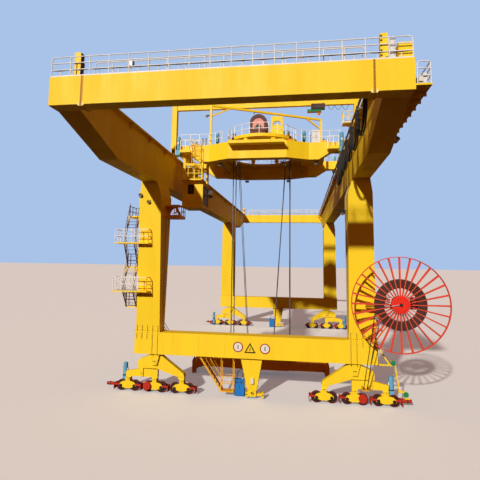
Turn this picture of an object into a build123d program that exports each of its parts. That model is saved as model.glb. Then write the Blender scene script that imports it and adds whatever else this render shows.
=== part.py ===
from build123d import *
import math
import os

os.makedirs("parts", exist_ok=True)

# Container gantry crane with two box girders, a slewing trolley and a low spreader.
# Everything is in millimetres of a 1:2 model. X runs along the runway rails, Y along
# the girders, Z up. Front is the -Y end and left is the -X side.

# Runway and overall sizes
GAUGE = 17500
GIRDER_LENGTH = 31500
RAIL_TOP = 25
WHEEL_R = 180
FLANGE_R = WHEEL_R + RAIL_TOP
WHEEL_Z = FLANGE_R
WHEEL_PITCH = 542
PIVOT_X = 3755
AXLE_R = 45
AXLE_GAP = 0.3
SEAT = 0.3
CHEEK_OUT = 125

# Girders
GIRDER_OUT = 4350
WEB_IN = 3720
FLANGE_IN = 3555
GIRDER_TOP = 9580
GIRDER_BOTTOM = GIRDER_TOP - 1430
TIP_BOTTOM = GIRDER_TOP - 730
TAPER_START = 473
TAPER_END = 2770
FLANGE_T = 40
END_BEAM_W = 415
SPLICE_X = 3480
SPLICE_T = 30
TRACK_X = 3760
TRACK_W = 60
TRACK_H = 65
STOP_H = 720

# Legs and sills
LEG_IN = 3560
SILL_HALF = 4550
SILL_BOTTOM = 1475
SILL_TOP = 2300
SILL_W = 600
LEG_OUT_LOW = 4515
LEG_OUT_HIGH = 4420
LEG_W_LOW = 560
LEG_W_HIGH = 1400
HAUNCH_Z = GIRDER_BOTTOM - 530
JOINT_RIBS = (3870, 4073, 4276, 4480)
LEG_FLANGE_T = 40

# Railings
RAIL_H = 525
POST = 26
TUBE = 22

# Trolley
TROLLEY_Y = -5200
WHEELBASE = 3900
TW_R = 160
TW_FLANGE_R = 185
TW_Z = GIRDER_TOP + TRACK_H + TW_R
BEAM_BOTTOM = GIRDER_TOP - 130
BEAM_TOP = GIRDER_TOP + 620
BEAM_W = 420
BOW_MID = 2450
BOW_END = 1950
BOW_X1 = 1250
BOW_X2 = 2200
CARRIAGE_W = 220
CARRIAGE_HALF = 2250
BEAM_HALF = TRACK_X - CARRIAGE_W / 2
NOTCH_X1 = TRACK_X - 1160
NOTCH_X2 = TRACK_X - 610
NOTCH_Z = GIRDER_TOP + 210
HOLE_R = 1500
DECK_Z = GIRDER_TOP + 420
DECK_T = 50
RING_OUT = 1700
RING_H = 60
SLEW_DECK_Z = DECK_Z + 640
SLEW_DECK_T = 140
ROLLER_GAP = 0.3

# Spreader
SPREADER_Z = 20
SPREADER_HALF = 3060
SPREADER_W = 1220
ROPE_X = 1330
ROPE_Y = 420
ROPE_D = 36
ROPE_TOP = SLEW_DECK_Z
FRAME_Z = 235
FRAME_TOP = 700
HEAD_TOP = 940

# Cable reel
REEL_X = 5220
REEL_Y = -9720
REEL_Z = 3670
REEL_R = 1640
REEL_W = 150

# Portal
PORTAL_Y = -5000
PORTAL_X = 4490
PORTAL_W = 260
PORTAL_BOTTOM = GIRDER_TOP - 590
PORTAL_BEAM_H = 250
PORTAL_FLANGE_T = 25
HOIST_DROP = 480
PORTAL_CLEARANCE = 60
ARCH_W = 90
ARCH_Z = SLEW_DECK_Z + 1420
PORTAL_TOP = ARCH_Z + ARCH_W / 2 + PORTAL_CLEARANCE + HOIST_DROP + PORTAL_FLANGE_T + PORTAL_BEAM_H

WALK_Z = GIRDER_TOP - 590
WALK_OUT = 4700

BUFFER_END_X = 5720
X_SHIFT = (REEL_X + REEL_R - BUFFER_END_X) / 2

END_Y = GIRDER_LENGTH / 2
SILL_Y = GAUGE / 2


def box(x0, x1, y0, y1, z0, z1):
    centre = Pos((x0 + x1) / 2, (y0 + y1) / 2, (z0 + z1) / 2)
    return centre * Box(abs(x1 - x0), abs(y1 - y0), abs(z1 - z0))


def plate_xz(points, y0, y1):
    face = make_face(Plane.XZ * Polyline(*points, close=True))
    return Pos(0, max(y0, y1), 0) * extrude(face, amount=abs(y1 - y0), dir=(0, -1, 0))


def plate_yz(points, x0, x1):
    face = make_face(Plane.YZ * Polyline(*points, close=True))
    return Pos(min(x0, x1), 0, 0) * extrude(face, amount=abs(x1 - x0), dir=(1, 0, 0))


def plate_xy(points, z0, z1):
    face = make_face(Plane.XY * Polyline(*points, close=True))
    return Pos(0, 0, z0) * extrude(face, amount=z1 - z0, dir=(0, 0, 1))


def frustum(low, high, z0, z1):
    bottom = Pos(0, 0, z0) * make_face(Polyline(*low, close=True))
    top = Pos(0, 0, z1) * make_face(Polyline(*high, close=True))
    return loft([bottom, top])


def bar(a, b, w, h=None):
    # square bar from a to b, with h across it in the upright plane
    a = Vector(*a)
    b = Vector(*b)
    line = b - a
    side = Vector(0, 0, 1).cross(line)
    if side.length < 1e-6:
        side = Vector(1, 0, 0)
    plane = Plane(origin=a, x_dir=side.normalized(), z_dir=line.normalized())
    return extrude(plane * Rectangle(w, h or w), amount=line.length)


def rod(a, b, d):
    a = Vector(*a)
    b = Vector(*b)
    line = b - a
    return extrude(Plane(origin=a, z_dir=line.normalized()) * Circle(d / 2), amount=line.length)


def cyl_y(x, y0, y1, z, r):
    return Pos(x, (y0 + y1) / 2, z) * Rot(90, 0, 0) * Cylinder(r, abs(y1 - y0))


def cyl_x(x0, x1, y, z, r):
    return Pos((x0 + x1) / 2, y, z) * Rot(0, 90, 0) * Cylinder(r, abs(x1 - x0))


def cyl_z(x, y, z0, z1, r):
    return Pos(x, y, (z0 + z1) / 2) * Cylinder(r, z1 - z0)


def fuse(parts):
    first = parts[0]
    if len(parts) == 1:
        return first
    return first.fuse(*parts[1:])


def mirror_x(shape):
    return mirror(shape, about=Plane.YZ)


def mirror_y(shape):
    return mirror(shape, about=Plane.XZ)


def save(name, shapes):
    # one file for each node, moved so that the origin is under the middle of the crane
    solids = []
    for shape in shapes:
        solids.extend(shape.solids())
    moved = [Pos(-X_SHIFT, 0, 0) * s for s in solids]
    node = moved[0] if len(moved) == 1 else Compound(children=moved)
    export_step(node, f"parts/{name}.step")


def fence(points, z, bays, closed=False, height=RAIL_H, feet=0):
    # posts with a top tube and a knee tube along a line of points
    pieces = []
    count = len(points)
    last = count if closed else count - 1
    for i in range(last):
        a = points[i]
        b = points[(i + 1) % count]
        n = bays[i]
        for k in range(n + 1):
            if k == 0 and (i > 0 or closed):
                continue
            t = k / n
            x = a[0] + (b[0] - a[0]) * t
            y = a[1] + (b[1] - a[1]) * t
            pieces.append(box(x - POST / 2, x + POST / 2, y - POST / 2, y + POST / 2, z, z + height))
        for part in (1.0, 0.5):
            level = z + height * part - TUBE / 2
            pieces.append(bar((a[0], a[1], level), (b[0], b[1], level), TUBE))
    return fuse(pieces)


# Girders
def girder():
    y0 = -END_Y + END_BEAM_W
    side = [(y0, TIP_BOTTOM), (-END_Y + TAPER_START, TIP_BOTTOM), (-END_Y + TAPER_END, GIRDER_BOTTOM)]
    side += [(-y, z) for y, z in reversed(side)]
    side += [(-y0, GIRDER_TOP), (y0, GIRDER_TOP)]
    web = plate_yz(side, WEB_IN, GIRDER_OUT)
    top = box(FLANGE_IN, GIRDER_OUT, y0, -y0, GIRDER_TOP - FLANGE_T, GIRDER_TOP)
    body = web.fuse(top)
    ribs = []
    step = 1750
    count = int((END_Y - 600) / step)
    for k in range(-count, count + 1):
        y = k * step
        rib = [(FLANGE_IN + 25, GIRDER_TOP - FLANGE_T), (WEB_IN, GIRDER_TOP - FLANGE_T),
               (WEB_IN, GIRDER_TOP - 260)]
        ribs.append(plate_xz(rib, y - 10, y + 10))
    return fuse([body] + ribs)


right_girder = girder()
left_girder = mirror_x(right_girder)


def splice(x):
    # bolted flanges between the end beam and the girder's end stub
    low = TIP_BOTTOM - 45
    mid = TIP_BOTTOM + 60
    out = [(x - SPLICE_T, GIRDER_TOP), (x - SPLICE_T, mid), (x - 95, TIP_BOTTOM), (x - 60, low),
           (x + 60, low), (x + 95, TIP_BOTTOM), (x + SPLICE_T, mid), (x + SPLICE_T, GIRDER_TOP)]
    return plate_xz(out, -END_Y - 12, -END_Y + END_BEAM_W)


beam = box(-GIRDER_OUT, GIRDER_OUT, -END_Y, -END_Y + END_BEAM_W, TIP_BOTTOM, GIRDER_TOP)
front_end_beam = fuse([beam, splice(SPLICE_X), splice(-SPLICE_X)])
switch_box = box(4030, GIRDER_OUT, -END_Y + 90, -END_Y + 380, GIRDER_TOP, GIRDER_TOP + 420)
front_end_beam = front_end_beam.fuse(switch_box)
end_beams = [front_end_beam, mirror_y(front_end_beam)]

# Trolley track with its end stops
rail = box(TRACK_X - TRACK_W / 2, TRACK_X + TRACK_W / 2, -END_Y + 20, END_Y - 20, GIRDER_TOP,
           GIRDER_TOP + TRACK_H)
stop = box(TRACK_X - 100, TRACK_X + 70, -END_Y + 200, -END_Y + 370, GIRDER_TOP, GIRDER_TOP + STOP_H)
pad = box(TRACK_X - 60, TRACK_X + 60, -END_Y + 370, -END_Y + 470, DECK_Z, DECK_Z + 120)
track = fuse([rail, stop, pad, mirror_y(stop), mirror_y(pad)])
trolley_track = [track, mirror_x(track)]

# Railings on both edges of the end beams
edge = GIRDER_OUT - POST
rail_a = fence([(-edge, -END_Y + 20), (edge, -END_Y + 20)], GIRDER_TOP, [17])
rail_b = fence([(-SPLICE_X + 120, -END_Y + END_BEAM_W - 20), (SPLICE_X - 120, -END_Y + END_BEAM_W - 20)],
               GIRDER_TOP, [14])
end_railings = [rail_a, rail_b, mirror_y(rail_a), mirror_y(rail_b)]

# Outer walkway on the right girder
deck = box(GIRDER_OUT, WALK_OUT, -END_Y + 20, END_Y - 20, WALK_Z - 40, WALK_Z)
brackets = []
BRACKET_STEP = 450
bracket_count = int((END_Y - 20) / BRACKET_STEP)
for k in range(-bracket_count, bracket_count + 1):
    y = k * BRACKET_STEP
    arm_shape = [(GIRDER_OUT, WALK_Z - 40), (WALK_OUT - 10, WALK_Z - 40), (WALK_OUT - 10, WALK_Z - 140),
                 (GIRDER_OUT + 130, WALK_Z - 150), (GIRDER_OUT, WALK_Z - 210)]
    if abs(y) > END_Y - TAPER_START - 60:
        arm_shape = arm_shape[:3] + [(GIRDER_OUT, WALK_Z - 140)]
    brackets.append(plate_xz(arm_shape, y - 10, y + 10))
walkway = [fuse([deck] + brackets)]
wy = END_Y - 40
walkway_railing = [fence([(WALK_OUT - 20, -wy), (WALK_OUT - 20, wy)], WALK_Z, [30])]


# Legs
def leg(sx, sy):
    low_w = LEG_W_LOW / 2
    high_w = LEG_W_HIGH / 2
    z0 = SILL_TOP
    zh = HAUNCH_Z
    z1 = GIRDER_BOTTOM
    t = (zh - z0) / (z1 - z0)
    mid_w = low_w + (high_w - low_w) * t
    mid_out = LEG_OUT_LOW + (LEG_OUT_HIGH - LEG_OUT_LOW) * t

    def ring(x_in, x_out, w):
        return [(x_in, -w), (x_out, -w), (x_out, w), (x_in, w)]

    shaft = frustum(ring(LEG_IN, LEG_OUT_LOW, low_w), ring(LEG_IN, mid_out, mid_w), z0, zh)
    head = frustum(ring(LEG_IN, mid_out, mid_w), ring(WEB_IN, LEG_OUT_HIGH - 70, high_w), zh, z1)
    half = SILL_W / 2 - 5
    foot = box(LEG_IN - 20, SILL_HALF, -half, half, z0, z0 + 30)
    collar = box(LEG_IN - 8, LEG_OUT_LOW + 8, -low_w - 14, low_w + 14, z0 + 85, z0 + 110)
    ribs = [collar]
    for x in JOINT_RIBS:
        rib = [(-half + 3, z0 + 30), (-low_w + 20, z0 + 30), (-low_w + 20, z0 + 240),
               (-low_w - 6, z0 + 220)]
        ribs.append(plate_yz(rib, x - 9, x + 9))
        ribs.append(plate_yz([(-y, z) for y, z in rib], x - 9, x + 9))
    body = fuse([shaft, head, foot] + ribs)
    if sx < 0:
        body = mirror_x(body)
    return Pos(0, sy * SILL_Y, 0) * body


front_left_leg = [leg(-1, -1)]
front_right_leg = [leg(1, -1)]
rear_left_leg = [leg(-1, 1)]
rear_right_leg = [leg(1, 1)]


# Sills with the pivot brackets under their ends
LUG_T = 60
LUG_Y = 150
PIN_Z = 1150
PIN_R = 55


def sill(sy):
    body = box(-SILL_HALF, SILL_HALF, -SILL_W / 2, SILL_W / 2, SILL_BOTTOM, SILL_TOP)
    lugs = []
    for x in (-PIVOT_X, PIVOT_X):
        for y in (-LUG_Y - LUG_T, LUG_Y):
            lug = [(x - 210, SILL_BOTTOM), (x + 210, SILL_BOTTOM), (x + 90, PIN_Z - 110),
                   (x - 90, PIN_Z - 110)]
            lugs.append(plate_xz(lug, y, y + LUG_T))
        lugs.append(cyl_y(x, -LUG_Y - LUG_T, LUG_Y + LUG_T, PIN_Z, PIN_R))
    for x in (-3000, -2000, -1000, 0, 1000, 2000, 3000):
        lugs.append(box(x - 8, x + 8, -SILL_W / 2 - 8, -SILL_W / 2, SILL_BOTTOM + 30, SILL_TOP - 30))
    for s in (-1, 1):
        ends = sorted((s * (LEG_IN - 20), s * SILL_HALF))
        for y0 in (-SILL_W / 2 - 12, SILL_W / 2):
            lugs.append(box(ends[0], ends[1], y0, y0 + 12, SILL_TOP - 75, SILL_TOP - 50))
            for x in JOINT_RIBS:
                lugs.append(box(s * x - 9, s * x + 9, y0, y0 + 12, SILL_TOP - 290, SILL_TOP))
    return Pos(0, sy * SILL_Y, 0) * fuse([body] + lugs)


front_sill = [sill(-1)]
rear_sill = [mirror_y(front_sill[0])]

# Main equaliser: long arm inward to one bogie, short arm outward to the second equaliser
EQ_W = 240
SEC_X = PIVOT_X + WHEEL_PITCH
IN_X = PIVOT_X - 2 * WHEEL_PITCH
BOGIE_X = (IN_X, PIVOT_X, PIVOT_X + 2 * WHEEL_PITCH)
BOGIE_PIN_Z = 470
SEC_PIN_Z = 680


def corner(sx, sy, shape):
    placed = Pos(0, -SILL_Y, 0) * shape
    if sx < 0:
        placed = mirror_x(placed)
    if sy > 0:
        placed = mirror_y(placed)
    return placed


def four(shape):
    return [corner(sx, sy, shape) for sx in (1, -1) for sy in (-1, 1)]


main_out = [(PIVOT_X - 270, 1385), (PIVOT_X + 250, 1385), (SEC_X + 90, 1230), (SEC_X + 150, 1150),
            (SEC_X + 150, 900), (PIVOT_X - 90, 900), (IN_X + 190, 640), (IN_X + 90, 500),
            (IN_X + 60, 400), (IN_X - 60, 400), (IN_X - 100, 640), (IN_X - 60, 770)]
main_body = plate_xz(main_out, -EQ_W / 2, EQ_W / 2)
main_lugs = []
for y in (-EQ_W / 2, EQ_W / 2 - 40):
    main_lugs.append(box(SEC_X - 75, SEC_X + 75, y, y + 40, SEC_PIN_Z - 100, 905))
main_hole = cyl_y(PIVOT_X, -EQ_W, EQ_W, PIN_Z, PIN_R + 1)
main_pin = cyl_y(SEC_X, -EQ_W / 2, EQ_W / 2, SEC_PIN_Z, 40)
main_equaliser = fuse([main_body] + main_lugs + [main_pin]) - main_hole
main_equalisers = four(main_equaliser)

sec_out = [(PIVOT_X - 105, 850), (SEC_X + 60, 865), (SEC_X + 640, 740), (SEC_X + 640, 640),
           (SEC_X + 600, 400), (SEC_X + 480, 400), (SEC_X + 420, 560), (PIVOT_X + 130, 560),
           (PIVOT_X + 70, 400), (PIVOT_X - 70, 400), (PIVOT_X - 105, 560)]
SEC_W = 140
secondary = plate_xz(sec_out, -SEC_W / 2, SEC_W / 2) - cyl_y(SEC_X, -100, 100, SEC_PIN_Z, 41)
secondary_equalisers = four(secondary)


# Bogie frames: two cheek plates with a pin block between them
def bogie(x):
    half = WHEEL_PITCH / 2
    cheek = [(x - half - 70, 170), (x - half - 70, 260), (x - half + 20, 345), (x - 90, 390),
             (x - 75, 535), (x + 75, 535), (x + 90, 390), (x + half - 20, 345),
             (x + half + 70, 260), (x + half + 70, 170), (x + half - 60, 150), (x + 90, 110),
             (x - 90, 110), (x - half + 60, 150)]
    parts = []
    for y in (-125, 100):
        parts.append(plate_xz(cheek, y, y + 25))
    parts.append(box(x - 50, x + 50, -100, 100, 130, 330))
    parts.append(cyl_y(x, -125, 125, BOGIE_PIN_Z, 35))
    body = fuse(parts)
    for s in (-1, 1):
        body -= cyl_y(x + s * half, -140, 140, WHEEL_Z, AXLE_R + AXLE_GAP)
    return body


main_equalisers = [m - corner_hole for m, corner_hole in zip(
    main_equalisers, four(cyl_y(IN_X, -200, 200, BOGIE_PIN_Z, 36)))]
sec_holes = fuse([cyl_y(PIVOT_X, -200, 200, BOGIE_PIN_Z, 36),
                  cyl_y(BOGIE_X[2], -200, 200, BOGIE_PIN_Z, 36)])
secondary_equalisers = [s - h for s, h in zip(secondary_equalisers, four(sec_holes))]
slim_side = box(IN_X - 200, IN_X + 200, 98, 200, 300, 640)
slim = slim_side.fuse(mirror_y(slim_side))
main_equalisers = [m - s for m, s in zip(main_equalisers, four(slim))]
bogie_frames = []
for bx in BOGIE_X:
    bogie_frames += four(bogie(bx))

# Upright travel motors beside the outer wheel of each corner
motor_x = BOGIE_X[2] + WHEEL_PITCH / 2
gear = box(motor_x - 115, motor_x + 45, CHEEK_OUT, 290, 130, 520)
motor = cyl_z(motor_x - 35, 210, 520, 1000, 85)
travel_motors = four(gear.fuse(motor))

# Red guards: sweepers at the bogie ends and round covers on the driven inner wheels
cover_x = PIVOT_X + WHEEL_PITCH / 2


def guard(end, s):
    # red wheel guard: two side plates from the cheek's end and a blade in front of the wheel
    reach = end + s * 190
    parts = [box(reach, reach + s * 20, -140, 140, 60, 290)]
    for y in (-CHEEK_OUT - 14, CHEEK_OUT):
        parts.append(box(end - s * 20, reach, y, y + 14, 215, 290))
    return fuse(parts)


cover = cyl_y(cover_x, -220, -CHEEK_OUT, 260, 150)
outer_end = BOGIE_X[2] + WHEEL_PITCH / 2 + 70
buffer = cyl_x(outer_end + 210, BUFFER_END_X, 0, 230, 60)
wheel_guards = four(cover) + four(guard(outer_end, 1).fuse(buffer))
for bx in BOGIE_X:
    wheel_guards += four(guard(bx - WHEEL_PITCH / 2 - 70, -1))


# Gantry wheels: one node for each line of two wheels that share an axis
def wheel_pair(x):
    axle = CHEEK_OUT - 0.5
    profile = [(0, -axle), (AXLE_R, -axle), (AXLE_R, -60), (90, -60), (90, -45), (FLANGE_R, -45),
               (FLANGE_R, -33), (WHEEL_R, -30), (WHEEL_R, 30), (FLANGE_R, 33), (FLANGE_R, 45),
               (90, 45), (90, 60), (AXLE_R, 60), (AXLE_R, axle), (0, axle)]
    face = make_face(Polyline(*profile, close=True))
    wheel = revolve(face, axis=Axis.Y)
    return [Pos(x, s * SILL_Y, WHEEL_Z) * wheel for s in (-1, 1)]


wheel_lines = []
for bx in BOGIE_X:
    for s in (-1, 1):
        wheel_lines.append(bx + s * WHEEL_PITCH / 2)
wheel_x = sorted([-x for x in wheel_lines] + wheel_lines)

# Portal for the service hoist
post = box(PORTAL_X - PORTAL_W / 2 + 5, PORTAL_X + PORTAL_W / 2, PORTAL_Y - PORTAL_W / 2,
           PORTAL_Y + PORTAL_W / 2, PORTAL_BOTTOM, PORTAL_TOP)
knee_top = GIRDER_TOP - 80
knee_low = GIRDER_TOP - 530
knee = plate_xz([(GIRDER_OUT, knee_top), (PORTAL_X - PORTAL_W / 2 + 10, knee_top),
                 (PORTAL_X - PORTAL_W / 2 + 10, knee_low), (GIRDER_OUT, knee_low)],
                PORTAL_Y - 120, PORTAL_Y + 120)
top_beam = box(-PORTAL_X, PORTAL_X, PORTAL_Y - 70, PORTAL_Y + 70, PORTAL_TOP - PORTAL_BEAM_H, PORTAL_TOP)
low_flange = box(-PORTAL_X + 130, PORTAL_X - 130, PORTAL_Y - 90, PORTAL_Y + 90,
                 PORTAL_TOP - PORTAL_BEAM_H - PORTAL_FLANGE_T, PORTAL_TOP - PORTAL_BEAM_H)
shelf_z = PORTAL_TOP - 1220
shelf = box(3820, PORTAL_X - 120, PORTAL_Y - 300, PORTAL_Y + 300, shelf_z - 50, shelf_z)
shelf_knee = plate_xz([(PORTAL_X - 130, shelf_z - 50), (3850, shelf_z - 50), (PORTAL_X - 130, shelf_z - 300)],
                      PORTAL_Y - 20, PORTAL_Y + 20)
shelf_rail = fence([(PORTAL_X - 150, PORTAL_Y - 280), (3840, PORTAL_Y - 280), (3840, PORTAL_Y + 280),
                    (PORTAL_X - 150, PORTAL_Y + 280)], shelf_z, [2, 2, 2])
portal_frame = [fuse([post, knee, mirror_x(post), mirror_x(knee), top_beam, low_flange, shelf,
                      shelf_knee, shelf_rail])]

HOIST_X = 2500
hz = PORTAL_TOP - PORTAL_BEAM_H - PORTAL_FLANGE_T
hoist_parts = [box(HOIST_X - 160, HOIST_X + 500, PORTAL_Y - 130, PORTAL_Y - 95, hz - 160, hz + 60),
               box(HOIST_X - 160, HOIST_X + 500, PORTAL_Y + 95, PORTAL_Y + 130, hz - 160, hz + 60),
               box(HOIST_X - 160, HOIST_X + 500, PORTAL_Y - 130, PORTAL_Y + 130, hz - 190, hz - 150),
               cyl_x(HOIST_X - 330, HOIST_X + 330, PORTAL_Y, hz - 265, 90),
               box(HOIST_X + 180, HOIST_X + 260, PORTAL_Y - 25, PORTAL_Y + 25, hz - 440, hz - 180),
               box(HOIST_X + 160, HOIST_X + 280, PORTAL_Y - 15, PORTAL_Y + 15, hz - HOIST_DROP, hz - 430)]
flange_top = PORTAL_TOP - PORTAL_BEAM_H
for x in (HOIST_X - 60, HOIST_X + 400):
    for y0, y1 in ((-96, -72), (72, 96)):
        hoist_parts.append(cyl_y(x, PORTAL_Y + y0, PORTAL_Y + y1, flange_top + SEAT + 35, 35))
service_hoist = [fuse(hoist_parts)]


# Trolley cross beams: bowed in plan, notched over the girders
def cross_beam(sy):
    outer = [(-BEAM_HALF, BOW_END), (-BOW_X2, BOW_END), (-BOW_X1, BOW_MID), (BOW_X1, BOW_MID),
             (BOW_X2, BOW_END), (BEAM_HALF, BOW_END)]
    inner = [(x, y - BEAM_W) for x, y in reversed(outer)]
    plan = plate_xy([(x, sy * y) for x, y in outer + inner], BEAM_BOTTOM, BEAM_TOP)
    face = [(-BEAM_HALF, BEAM_TOP), (-BEAM_HALF, NOTCH_Z), (-NOTCH_X2, NOTCH_Z), (-NOTCH_X1, BEAM_BOTTOM),
            (NOTCH_X1, BEAM_BOTTOM), (NOTCH_X2, NOTCH_Z), (BEAM_HALF, NOTCH_Z), (BEAM_HALF, BEAM_TOP)]
    body = plan & plate_xz(face, -3000, 3000)
    return Pos(0, TROLLEY_Y, 0) * body


inside = BOW_END - BEAM_W
front_cross_beam = cross_beam(-1)
ledge = box(-1180, 1180, -BOW_MID - 430, -BOW_MID, DECK_Z, DECK_Z + 50)
toe = box(-1180, 1180, -BOW_MID - 430, -BOW_MID - 410, DECK_Z + 50, DECK_Z + 130)
front_cross_beam = [fuse([front_cross_beam, Pos(0, TROLLEY_Y, 0) * ledge, Pos(0, TROLLEY_Y, 0) * toe])]
rear_cross_beam = [cross_beam(1)]

outer_edge = BOW_MID - BEAM_W
plan = [(-2950, inside), (-BOW_X2, inside), (-BOW_X1, outer_edge), (BOW_X1, outer_edge),
        (BOW_X2, inside), (2950, inside), (2950, -inside), (BOW_X2, -inside), (BOW_X1, -outer_edge),
        (-BOW_X1, -outer_edge), (-BOW_X2, -inside), (-2950, -inside)]
ring_deck = plate_xy(plan, DECK_Z, DECK_Z + DECK_T) - cyl_z(0, 0, DECK_Z - 10, DECK_Z + 100, HOLE_R)
track_ring = cyl_z(0, 0, DECK_Z + DECK_T, DECK_Z + DECK_T + RING_H, RING_OUT - 40) - cyl_z(
    0, 0, DECK_Z, DECK_Z + 200, HOLE_R + 20)
deck_beams = []
for x in (-1, 1):
    deck_beams.append(box(x * 1850 - 60, x * 1850 + 60, -inside, inside, DECK_Z - 350, DECK_Z))
ring_deck = [Pos(0, TROLLEY_Y, 0) * fuse([ring_deck, track_ring] + deck_beams)]


# End carriages with the trolley wheels under them
def carriage_body():
    x0 = TRACK_X - CARRIAGE_W / 2
    x1 = TRACK_X + CARRIAGE_W / 2
    parts = [box(x0, x1, -CARRIAGE_HALF, CARRIAGE_HALF, DECK_Z - 10, BEAM_TOP)]
    for sy in (-1, 1):
        a = sy * WHEELBASE / 2 - 300
        b = sy * WHEELBASE / 2 + 300
        cheek = [(a, DECK_Z - 10), (a + 80, TW_Z - 80), (b - 80, TW_Z - 80), (b, DECK_Z - 10)]
        parts.append(plate_yz(cheek, x0, x0 + 30))
        parts.append(plate_yz(cheek, x1 - 30, x1))
        end = sy * CARRIAGE_HALF
        bumper = box(TRACK_X - 60, TRACK_X + 60, -50, 50, DECK_Z, DECK_Z + 120)
        parts.append(Pos(0, end + sy * 50, 0) * bumper)
    body = fuse(parts)
    for sy in (-1, 1):
        body -= cyl_x(x0 - 10, x1 + 10, sy * WHEELBASE / 2, TW_Z, AXLE_R + AXLE_GAP)
    return Pos(0, TROLLEY_Y, 0) * body


right_carriage = carriage_body()
end_carriages = [right_carriage, mirror_x(right_carriage)]


def trolley_wheels(sy):
    profile = [(0, -109), (AXLE_R, -109), (AXLE_R, -50), (TW_FLANGE_R, -50), (TW_FLANGE_R, -36),
               (TW_R, -33), (TW_R, 33), (TW_FLANGE_R, 36), (TW_FLANGE_R, 50), (AXLE_R, 50),
               (AXLE_R, 109), (0, 109)]
    face = make_face(Polyline(*profile, close=True))
    wheel = Rot(0, 0, -90) * revolve(face, axis=Axis.Y)
    return [Pos(s * TRACK_X, TROLLEY_Y + sy * WHEELBASE / 2, TW_Z) * wheel for s in (-1, 1)]


# Trolley drives, steps beside them, cabinet and railings
def on_trolley(shape):
    return Pos(0, TROLLEY_Y, 0) * shape


drive_x = TRACK_X - CARRIAGE_W / 2
drive_z = GIRDER_TOP + 380
drive = fuse([box(drive_x - 190, drive_x, -BOW_END - 260, -BOW_END - 15, drive_z - 240, drive_z),
              cyl_z(drive_x - 95, -BOW_END - 140, drive_z, drive_z + 600, 80)])
drive = on_trolley(drive)
rear_drive = Pos(0, TROLLEY_Y, 0) * mirror_y(Pos(0, -TROLLEY_Y, 0) * drive)
trolley_drives = [drive, mirror_x(drive), rear_drive, mirror_x(rear_drive)]

step_in = drive_x - 690
step_out = drive_x - 220
step_z = NOTCH_Z + 60
step = box(step_in, step_out, -BOW_END - 380, -BOW_END, step_z - 40, step_z)
step_toe = box(step_in, step_out, -BOW_END - 380, -BOW_END - 360, step_z, step_z + 80)
steps = on_trolley(step.fuse(step_toe))
front_cross_beam = [fuse(front_cross_beam + [steps, mirror_x(steps)])]

trolley_cabinet = [on_trolley(box(2330, 2680, -BOW_END + 40, -BOW_END + 300, BEAM_TOP, BEAM_TOP + 560))]

fy = BOW_END - 25
my = BOW_MID - 25
rail_x = drive_x - 150
right_rail = fence([(BOW_X1 + 300, -my + 160), (BOW_X2 + 20, -fy), (rail_x, -fy)], BEAM_TOP, [2, 3])
left_rail = mirror_x(right_rail)
back_rail = fence([(rail_x, fy), (BOW_X2, fy), (BOW_X1, my), (-BOW_X1, my), (-BOW_X2, fy), (-rail_x, fy)],
                  BEAM_TOP, [3, 2, 5, 2, 3])
step_rail = fence([(step_in + 15, -BOW_END - 30), (step_in + 15, -BOW_END - 340),
                   (step_out - 15, -BOW_END - 340)], step_z, [1, 2])
trolley_railings = [on_trolley(s) for s in (right_rail, left_rail, back_rail, step_rail,
                                            mirror_x(step_rail))]

# Cable arch across the trolley, over the slewing deck
arch_a = (-2150, -1860, ARCH_Z)
arch_b = (2820, 400, ARCH_Z - 70)
arch_parts = [bar((arch_a[0], arch_a[1], BEAM_TOP), arch_a, ARCH_W),
              bar((arch_b[0], arch_b[1], DECK_Z + DECK_T), arch_b, ARCH_W),
              bar(arch_a, arch_b, ARCH_W)]


def along_arch(t, drop=0):
    return tuple(p + (q - p) * t for p, q in zip(arch_a, arch_b))[:2] + (
        arch_a[2] + (arch_b[2] - arch_a[2]) * t - drop,)


arch_parts.append(bar((arch_a[0], arch_a[1], ARCH_Z - 500), along_arch(0.17), 60))
arch_parts.append(bar((arch_b[0], arch_b[1], ARCH_Z - 560), along_arch(0.85), 60))
cable_arch = [on_trolley(fuse(arch_parts))]

# Slewing deck on its rollers
slew = cyl_z(0, 0, SLEW_DECK_Z, SLEW_DECK_Z + SLEW_DECK_T, RING_OUT)
rollers = []
ring_top = DECK_Z + DECK_T + RING_H
for k in range(8):
    a = 22.5 + 45 * k
    r = (HOLE_R + 20 + RING_OUT - 40) / 2
    support = box(-60, 60, -90, 90, ring_top + 60, SLEW_DECK_Z)
    roller = cyl_x(-50, 50, 0, ring_top + ROLLER_GAP + 70, 70)
    rollers.append(Rot(0, 0, a) * Pos(r, 0, 0) * support.fuse(roller))
slewing_deck = [on_trolley(fuse([slew] + rollers))]

deck_top = SLEW_DECK_Z + SLEW_DECK_T
round_points = []
for k in range(12):
    a = math.radians(15 + 30 * k)
    r = RING_OUT - 30
    round_points.append((r * math.cos(a), r * math.sin(a)))
deck_railing = [on_trolley(fence(round_points, deck_top, [2] * 12, closed=True))]

# Rope drum under its arched hood, and the hoist frame beside it
DRUM_X = -92
DRUM_Y0 = -1100
DRUM_Y1 = 100
HOOD_R = 395
HOOD_TOP = ARCH_Z - 190
HOOD_LOW = deck_top + 250
hood_z = HOOD_TOP - HOOD_R


def arched(r, z_low, y0, y1):
    return cyl_y(DRUM_X, y0, y1, hood_z, r).fuse(box(DRUM_X - r, DRUM_X + r, y0, y1, z_low, hood_z))


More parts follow.
